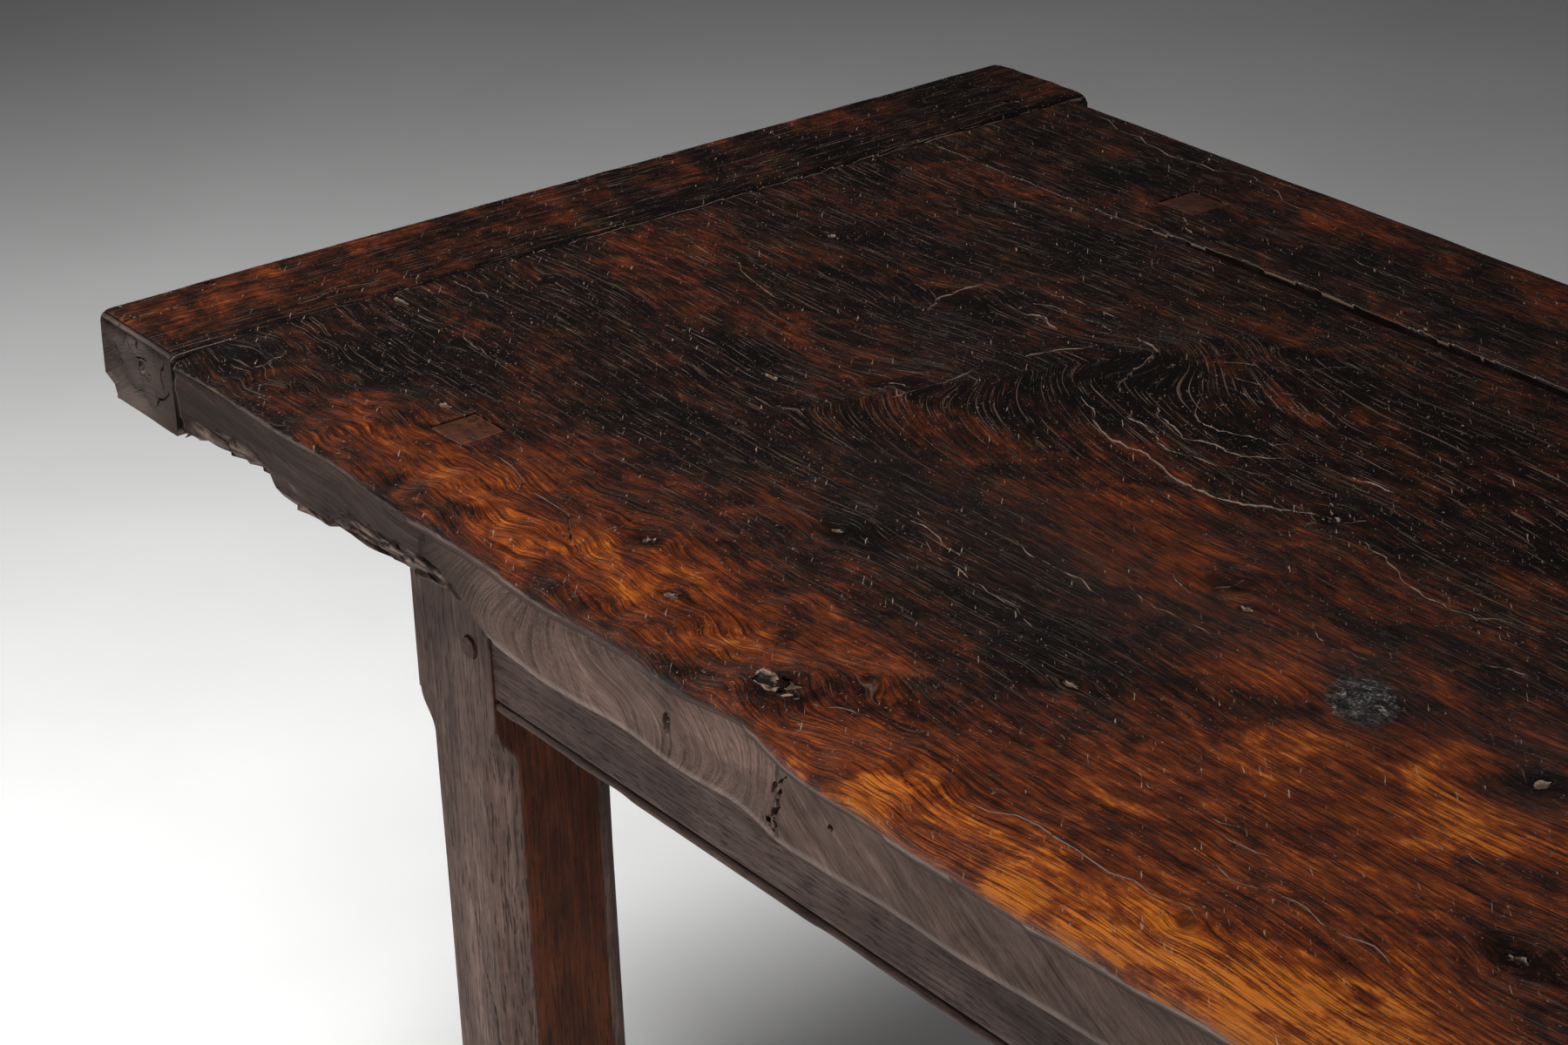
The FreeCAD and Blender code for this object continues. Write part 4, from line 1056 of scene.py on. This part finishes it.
# Dry oak: grey-brown, matte and open-grained outside; red-brown where the table has sheltered it.
# The pores are long dark dashes, drawn about twice their real width to show at this distance.
def dry_oak(name):
    material, tree, shader = fresh_material(name)
    grain, tone = [add(tree, "ShaderNodeAttribute", attribute_name=layer)["Vector"]
                   for layer in ("grain", "tone")]
    sheltered, rubbed, soot = add(tree, "ShaderNodeSeparateXYZ", {0: tone})
    # Patterns by length along the grain and width across it in millimetres; the last scale keeps pieces apart
    figure = {}
    for key, along, across, detail, rough in (
        ("blotch", 160, 34, 4, 0.6), ("streak", 90, 2.6, 6, 0.66), ("pore", 16, 1.2, 2, 0.5),
        ("grime", 40, 30, 6, 0.68),
    ):
        stretch = add(tree, "ShaderNodeVectorMath", {0: grain, 1: (1000 / along, 1000 / across, 7)},
                      operation="MULTIPLY")[0]
        figure[key] = add(tree, "ShaderNodeTexNoise", {"Vector": stretch, "Scale": 1.0, "Detail": detail,
                                                       "Roughness": rough, "Distortion": 0.1})[0]
    pores = add(tree, "ShaderNodeMapRange", {"Value": figure["pore"], "From Min": 0.57, "From Max": 0.65})[0]
    # Sums of patterns: depth of colour, the ragged border of the sheltered faces, and the relief
    sums = {}
    for key, start, parts in (
        ("depth", -0.62, ((figure["blotch"], 0.75), (figure["streak"], 0.85), (figure["grime"], 0.65),
                          (rubbed, 0.2))),
        ("border", sheltered, ((figure["grime"], 0.7),)),
        ("dark", 0.0, ((pores, 0.7),)),
        ("relief", 0.0, ((pores, -0.8), (figure["streak"], 0.7), (figure["grime"], 0.5))),
    ):
        total = start
        for source, weight in parts:
            total = add(tree, "ShaderNodeMath", {0: source, 1: weight, 2: total}, operation="MULTIPLY_ADD")[0]
        sums[key] = total
    shelter = add(tree, "ShaderNodeMapRange", {"Value": sums["border"], "From Min": 0.65,
                                               "From Max": 1.05})[0]
    dust = add(tree, "ShaderNodeMath", {0: soot, 1: -1.0}, operation="MULTIPLY", use_clamp=True)[0]
    colour = add(tree, "ShaderNodeValToRGB", {"Fac": sums["depth"]}, [
        (0.15, "#2d211d"), (0.40, "#4f3e37"), (0.60, "#665149"), (0.85, "#857067")])["Color"]
    red = add(tree, "ShaderNodeValToRGB", {"Fac": sums["depth"]}, [
        (0.15, "#22120d"), (0.40, "#402115"), (0.62, "#5b301c"), (0.85, "#7b4527")])["Color"]
    # The soot coat also lays painted shade in the legs' checks and peg holes and in the rails' quirks
    for share, coat in ((shelter, red), (sums["dark"], linear("#1c1412")), (soot, linear("#140e0c")),
                        (dust, linear("#7d6f63"))):
        colour = add(tree, "ShaderNodeMix", {0: share, 6: colour, 7: coat}, data_type="RGBA")[2]
    tree.links.new(colour, shader.inputs["Base Color"])
    gloss = add(tree, "ShaderNodeMapRange", {"Value": shelter, "To Min": 0.68, "To Max": 0.50})[0]
    tree.links.new(gloss, shader.inputs["Roughness"])
    shader.inputs["Specular IOR Level"].default_value = 0.2
    bump = add(tree, "ShaderNodeBump", {"Height": sums["relief"], "Strength": 0.9, "Distance": 0.0005})
    tree.links.new(bump[0], shader.inputs["Normal"])
    return material


def join_block(piece, verts, faces):
    # Adds a closed block to the piece's mesh
    work = bmesh.new()
    work.from_mesh(piece.data)
    corners = [work.verts.new(v) for v in verts]
    fresh = [work.faces.new([corners[k] for k in face]) for face in faces]
    bmesh.ops.recalc_face_normals(work, faces=fresh)
    work.to_mesh(piece.data)
    work.free()


def peg_heads(middle, side_x, side_y):
    # Where the two rails' pegs enter a leg's outer faces: the way out of the face, and the places
    long_x = middle[0] - side_x * peg_inset
    end_y = middle[1] - side_y * peg_inset
    front = middle[1] + side_y * leg_half
    end = middle[0] + side_x * leg_half
    # The long rails' pegs and the end rails' stand at staggered heights
    long_heights = [leg_height - share * rail_height for share in (0.27, 0.65)]
    end_heights = [leg_height - share * rail_height for share in (0.44, 0.79)]
    return [
        (Vector((0, side_y, 0)), [Vector((long_x, front, z)) for z in long_heights]),
        (Vector((side_x, 0, 0)), [Vector((end, end_y, z)) for z in end_heights]),
    ]


def bored(spot, out_way, radius, deep):
    # Closed round cutter, sunk into a face
    side = Vector((0, 0, 1))
    other = out_way.cross(side)
    count = 16
    turns = [2 * k * math.pi / count for k in range(count)]
    ring = [(side * math.cos(turn) + other * math.sin(turn)) * radius for turn in turns]
    verts = [spot + out_way * 0.004 + v for v in ring] + [spot - out_way * deep + v for v in ring]
    faces = [tuple(range(count)), tuple(range(count, 2 * count))]
    faces += [(k, (k + 1) % count, (k + 1) % count + count, k + count) for k in range(count)]
    return verts, faces


oak = dry_oak("dry_oak")
# Drying checks: the face, the width, and places along the table and below its top, in millimetres
leg_checks = {
    "leg_front_left": [("front", 2.6, [(346, 357), (352, 384), (359, 408), (363, 433), (366, 470),
                                       (364, 520)]),
                       ("front", 1.4, [(344, 330), (346, 346), (349, 360)]),
                       ("front", 1.6, [(318, 560), (322, 610), (318, 660)])],
    "leg_front_right": [("front", 2.0, [(1770, 300), (1774, 360), (1770, 430)])],
    "leg_back_left": [("back", 2.0, [(340, 280), (336, 350), (342, 430)])],
    "leg_back_right": [("back", 2.2, [(1752, 420), (1758, 500), (1752, 580)])],
}
for n, (leg_name, checks) in enumerate(leg_checks.items()):
    low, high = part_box(leg_name)
    middle = ((low[0] + high[0]) / 2, (low[1] + high[1]) / 2)
    side_x = 1 if middle[0] > 0 else -1
    side_y = 1 if middle[1] > 0 else -1
    leg = leg_skin(leg_name + "_skin", middle, side_x, side_y, 300 + 10 * n)
    cutters = []
    for m, (face, width, path) in enumerate(checks):
        out = -1 if face == "front" else 1
        line = [(x_of(along), middle[1] + out * (leg_half - 0.0005), table_top - deep / 1000)
                for along, deep in path]
        cutters.append(split_wedge(line, Vector((0, -out, 0)), width / 1000, 0.005, 350 + 10 * n + m))
    # Each peg's hole has opened a little round its head
    for out_way, spots in peg_heads(middle, side_x, side_y):
        for spot in spots:
            cutters.append(bored(spot, out_way, 0.0082, 0.004))
    cut_away(leg, cutters)
    join_block(leg, *tenon_block(leg_name))
    mesh = leg.data
    x, y, z = corners_of(mesh).T
    dx, dy = x - middle[0], y - middle[1]
    # Round the post from its outer corner, so the lines close at the hidden inner one
    outwards, sideways = side_x * dx + side_y * dy, side_x * dy - side_y * dx
    round_leg = np.arctan2(sideways, outwards) * leg_half * 1.1
    ends = z > table_top - 0.002
    mark(mesh, "grain", np.where(ends, x * 3, z), np.where(ends, y * 0.3, round_leg), 2.1 + n)
    # Only the two faces turned under the table keep their red colour
    chamfered = leg_half - chamfer_at(z, outer_chamfer) - 0.0003
    inner_x = (-side_x * dx > leg_half - 0.0012) & (np.abs(dy) < chamfered)
    inner_y = (-side_y * dy > leg_half - 0.0012) & (np.abs(dx) < chamfered)
    shelter = np.where(inner_x | inner_y, 1.0, 0.0)
    shelter = np.where(z > leg_height, 1.0, shelter)
    # Painted shade darkens whatever is cut into the front and back faces: the checks, and the holes round the
    # pegs
    recess_shade = (np.abs(dx) < 0.028) & (np.abs(dy) > 0.038) & (np.abs(dy) < leg_half - 0.0018)
    recess_shade = recess_shade & (z < leg_height - 0.02)
    # The tenon's end is sooty, and pale round its bruised edge
    bruise = np.where(ends, np.where(z < table_top - 0.0012, -0.35, 0.60), 0)
    mark(mesh, "tone", shelter, 0, recess_shade + bruise)
    dress(leg, oak, [leg_name])

# Rails: four oak boards under the top, tenoned into the legs, with a scratched bead along each lower outer
# edge. The bead is chewed and wavy where knees and brooms have knocked it.

rail_depth = 0.036
bead = 0.004
# In each leg a tenon stops a wall short of the other rail's tenon, which is set in from the leg's outer face
tenon_set_in = 0.014
tenon_thickness = 0.014
mortise_wall = 0.006
tenon_front, tenon_back = 0.011, 0.025
tenon_low, tenon_high = -0.108, -0.016


def rail_skin(name, run, turn, place_at, seed):
    # Built along X with its outer face to the front, then turned and set in place
    stations = [-run / 2, -run / 2 + 0.003] + list(np.arange(-run / 2 + 0.008, run / 2 - 0.006, 0.0055))
    stations += [run / 2 - 0.003, run / 2]
    face_z = -np.concatenate([[0.0006, 0.003], np.linspace(0.008, 0.100, 18), [0.1035, 0.1058]])
    sweep = np.linspace(math.pi / 2, -math.pi / 2 * 0.98, 9)
    turned = Matrix.Rotation(math.radians(turn), 4, "Z")
    rings = []
    for x in stations:
        face_y = 0.0003 + 0.0004 * drift(x / 0.07, face_z / 0.03, seed)
        face_y = face_y + 0.0002 * drift(x / 0.02, face_z / 0.01, seed + 1)
        chew = 0.5 * float(drift(x / 0.021, 0.4, seed + 2)) + 0.5 * float(drift(x / 0.06, 0.7, seed + 3))
        size = bead * (1 - 0.22 * max(0.0, chew))
        centre_z = -rail_height + bead + 0.0012 * max(0.0, chew)
        loop = [(0.0006, 0.0)] + [(py, pz) for py, pz in zip(face_y, face_z)]
        # The quirk is a small groove that parts the bead from the face
        loop += [(0.0006, -0.1064), (0.0030, -0.1068), (0.0036, -0.1080), (0.0036, -0.1088)]
        for a in sweep:
            loop.append((bead - size * math.cos(a) * 0.95 + 0.0002, centre_z + size * math.sin(a)))
        loop += [(py, -rail_height + 0.0004) for py in np.linspace(0.008, rail_depth - 0.002, 5)]
        loop += [(rail_depth - 0.0004, pz) for pz in np.linspace(-rail_height + 0.003, -0.003, 12)]
        loop += [(py, 0.0) for py in np.linspace(rail_depth - 0.003, 0.006, 4)]
        rings.append([tuple(turned @ Vector((x, py, pz)) + Vector(place_at)) for py, pz in loop])
    return skin(name, rings)


rail_turns = (("front_rail", 0), ("back_rail", 180), ("left_end_rail", 270), ("right_end_rail", 90))
tenon = leg_half * 2 - tenon_set_in - tenon_thickness - mortise_wall
for n, (node, turn) in enumerate(rail_turns):
    low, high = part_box(node)
    long_way = 0 if turn in (0, 180) else 1
    run = high[long_way] - low[long_way] - 2 * tenon
    middle = [(a + b) / 2 for a, b in zip(low, high)]
    place_at = [middle[0], middle[1], leg_height]
    # The axis that the outer face looks along, and where on it the face lies
    outer = {0: (1, low[1]), 180: (1, high[1]), 270: (0, low[0]), 90: (0, high[0])}[turn]
    place_at[outer[0]] = outer[1]
    rail = rail_skin(node + "_skin", run, turn, place_at, 400 + 10 * n)
    turned = Matrix.Rotation(math.radians(turn), 4, "Z")
    for end in (-1, 1):
        xs = sorted((end * (run / 2 - 0.002), end * (run / 2 + tenon)))
        plan = [(xs[0], tenon_front), (xs[1], tenon_front), (xs[1], tenon_back), (xs[0], tenon_back)]
        block = [(px, py, pz) for pz in (tenon_low, tenon_high) for px, py in plan]
        block = [tuple(turned @ Vector(v) + Vector(place_at)) for v in block]
        join_block(rail, block, box_faces)
    mesh = rail.data
    x, y, z = corners_of(mesh).T
    along, across = (x, y) if long_way == 0 else (y, x)
    inward = np.abs(across - outer[1])
    wander = 0.003 * drift(along / 0.2, z / 0.05, 440 + n)
    round_rail = z + wander + np.where(inward > 0.03, 0.5, inward)
    mark(mesh, "grain", along, round_rail, 7.3 + n)
    shelter = np.where(inward > 0.02, 1.0, 0.0)
    # Painted shade in the quirk that parts the bead from the face
    quirk_shade = (inward > 0.0025) & (inward < 0.0045) & (z < leg_height - 0.105) & (z > leg_height - 0.1105)
    mark(mesh, "tone", shelter, 0, 0.8 * quirk_shade)
    dress(rail, oak, [node])

# Cross rail: an oak bearer under the middle of the boards, dovetailed down into the long rails.
# It keeps its saw-cut faces, and the frame's own solid is right for it.

# Sawn oak: red-brown and plain, since no light or hand reaches it. The grain runs along the piece.
def sawn_oak(name, along_axis):
    material, tree, shader = fresh_material(name)
    place = add(tree, "ShaderNodeTexCoord")["Object"]
    # Streaks 4 mm wide and 90 mm long
    sizes = [1000 / 4] * 3
    sizes[along_axis] = 1000 / 90
    stretch = add(tree, "ShaderNodeVectorMath", {0: place, 1: sizes}, operation="MULTIPLY")[0]
    streak = add(tree, "ShaderNodeTexNoise", {"Vector": stretch, "Scale": 1.0, "Detail": 5.0,
                                              "Roughness": 0.65})[0]
    colour = add(tree, "ShaderNodeValToRGB", {"Fac": streak}, [
        (0.3, "#2a1811"), (0.5, "#45291b"), (0.7, "#5d3c29")])
    tree.links.new(colour["Color"], shader.inputs["Base Color"])
    gloss = add(tree, "ShaderNodeMapRange", {"Value": streak, "To Min": 0.8, "To Max": 0.6})[0]
    tree.links.new(gloss, shader.inputs["Roughness"])
    bump = add(tree, "ShaderNodeBump", {"Height": streak, "Strength": 0.8, "Distance": 0.0006})
    tree.links.new(bump[0], shader.inputs["Normal"])
    return material


bearer_oak = sawn_oak("sawn_oak_bearer", 1)
for material_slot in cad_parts["cross_rail"].material_slots:
    material_slot.material = bearer_oak

# Loose tenons: oak slips let into both boards across the joint between them, which they keep level.
# They are hidden but for the open gap that they bridge, so the frame's own solids are right for them too.

tenon_oak = sawn_oak("sawn_oak_tenons", 1)
for material_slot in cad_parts["board_tenons"].material_slots:
    material_slot.material = tenon_oak

# Pegs: riven oak, eight-sided and tapered, driven through the joints and cut off almost flush. Thirty-two
# hold the rails, the cleats and the loose tenons; no two heads are turned quite alike.

pegs_tree = bpy.data.node_groups.new("driven_pegs", "GeometryNodeTree")
sockets = {}
for name, kind in (
    ("Heads", "NodeSocketGeometry"), ("Head size", "NodeSocketFloat"), ("Length", "NodeSocketFloat"),
    ("Point share", "NodeSocketFloat"), ("Seed", "NodeSocketInt"), ("Wood", "NodeSocketMaterial"),
):
    sockets[name] = pegs_tree.interface.new_socket(name, in_out="INPUT", socket_type=kind)
pegs_tree.interface.new_socket("Pegs", in_out="OUTPUT", socket_type="NodeSocketGeometry")
given = add(pegs_tree, "NodeGroupInput")
# Corner radius of an octagon from its width across the flats
to_corner = 0.5 / math.cos(math.pi / 8)
reach = add(pegs_tree, "ShaderNodeMath", {0: given["Head size"], 1: to_corner}, operation="MULTIPLY")[0]
point = add(pegs_tree, "ShaderNodeMath", {0: reach, 1: given["Point share"]}, operation="MULTIPLY")[0]
shaft = add(pegs_tree, "GeometryNodeMeshCone", {"Vertices": 8, "Radius Bottom": reach, "Radius Top": point,
                                               "Depth": given["Length"]})
way = add(pegs_tree, "GeometryNodeInputNamedAttribute", {"Name": "way"}, data_type="FLOAT_VECTOR")
along = add(pegs_tree, "FunctionNodeAlignRotationToVector", {"Vector": way["Attribute"]}, axis="Z")
twist = add(pegs_tree, "FunctionNodeRandomValue", {"Min": -0.16, "Max": 0.16, "Seed": given["Seed"]},
            data_type="FLOAT")
twist = [socket for socket in twist if socket.enabled][0]
about = add(pegs_tree, "ShaderNodeCombineXYZ", {"Z": twist})[0]
about = add(pegs_tree, "FunctionNodeEulerToRotation", {0: about})[0]
turn = add(pegs_tree, "FunctionNodeRotateRotation", {0: along[0], 1: about}, rotation_space="LOCAL")[0]
heads = add(pegs_tree, "GeometryNodeMeshToPoints", {"Mesh": given["Heads"]})[0]
driven = add(pegs_tree, "GeometryNodeInstanceOnPoints", {"Points": heads, "Instance": shaft["Mesh"],
                                                         "Rotation": turn})
whole = add(pegs_tree, "GeometryNodeRealizeInstances", {"Geometry": driven[0]})[0]
whole = add(pegs_tree, "GeometryNodeSetMaterial", {"Geometry": whole, "Material": given["Wood"]})[0]
add(pegs_tree, "NodeGroupOutput", {"Pegs": whole})

# Head size, length, and the way each set is driven
peg_sets = {
    "front_rail_pegs": (0.014, 0.060, (0, 1, 0)), "back_rail_pegs": (0.014, 0.060, (0, -1, 0)),
    "left_end_rail_pegs": (0.014, 0.060, (1, 0, 0)), "right_end_rail_pegs": (0.014, 0.060, (-1, 0, 0)),
    "board_tenon_pegs": (0.011, 0.0455, (0, 0, 1)), "left_cleat_pegs": (0.011, 0.0485, (0, 0, 1)),
    "right_cleat_pegs": (0.011, 0.0485, (0, 0, 1)),
}
peg_oak = [sawn_oak("riven_oak_pegs_" + letter, axis) for axis, letter in enumerate("xyz")]
for n, (node, (size, length, drive)) in enumerate(peg_sets.items()):
    # Each peg of the frame is an island of its mesh: its head is the end that the drive comes from
    drive = Vector(drive)
    work = bmesh.new()
    work.from_mesh(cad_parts[node].data)
    bmesh.ops.remove_doubles(work, verts=work.verts, dist=1e-6)
    waiting = set(work.verts)
    spots = []
    while waiting:
        island = [waiting.pop()]
        for vert in island:
            for edge in vert.link_edges:
                beyond = edge.other_vert(vert)
                if beyond in waiting:
                    waiting.remove(beyond)
                    island.append(beyond)
        nearest = min(vert.co.dot(drive) for vert in island)
        head = sorted(tuple(vert.co) for vert in island if vert.co.dot(drive) < nearest + 0.0005)
        spots.append(tuple(np.mean(head, axis=0)))
    work.free()
    # Set in order by place, to a tenth of a millimetre, so that each peg keeps its twist from run to run
    spots.sort(key=lambda spot: [round(part, 4) for part in spot])
    mesh = bpy.data.meshes.new(node + "_heads")
    mesh.from_pydata(spots, [], [])
    mark(mesh, "way", *drive)
    pegs = bpy.data.objects.new(node + "_driven", mesh)
    scene.collection.objects.link(pegs)
    step = pegs.modifiers.new("pegs", "NODES")
    step.node_group = pegs_tree
    wood = peg_oak[[abs(round(part)) for part in drive].index(1)]
    for name, value in (
        ("Head size", size), ("Length", length), ("Point share", 0.80), ("Seed", 500 + n), ("Wood", wood),
    ):
        step[sockets[name].identifier] = value
    shaped = bpy.data.meshes.new_from_object(pegs.evaluated_get(bpy.context.evaluated_depsgraph_get()))
    pegs.modifiers.remove(step)
    pegs.data = shaped
    shaped.name = pegs.name
    bpy.data.meshes.remove(mesh)
    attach(pegs, "root")
    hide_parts(node)
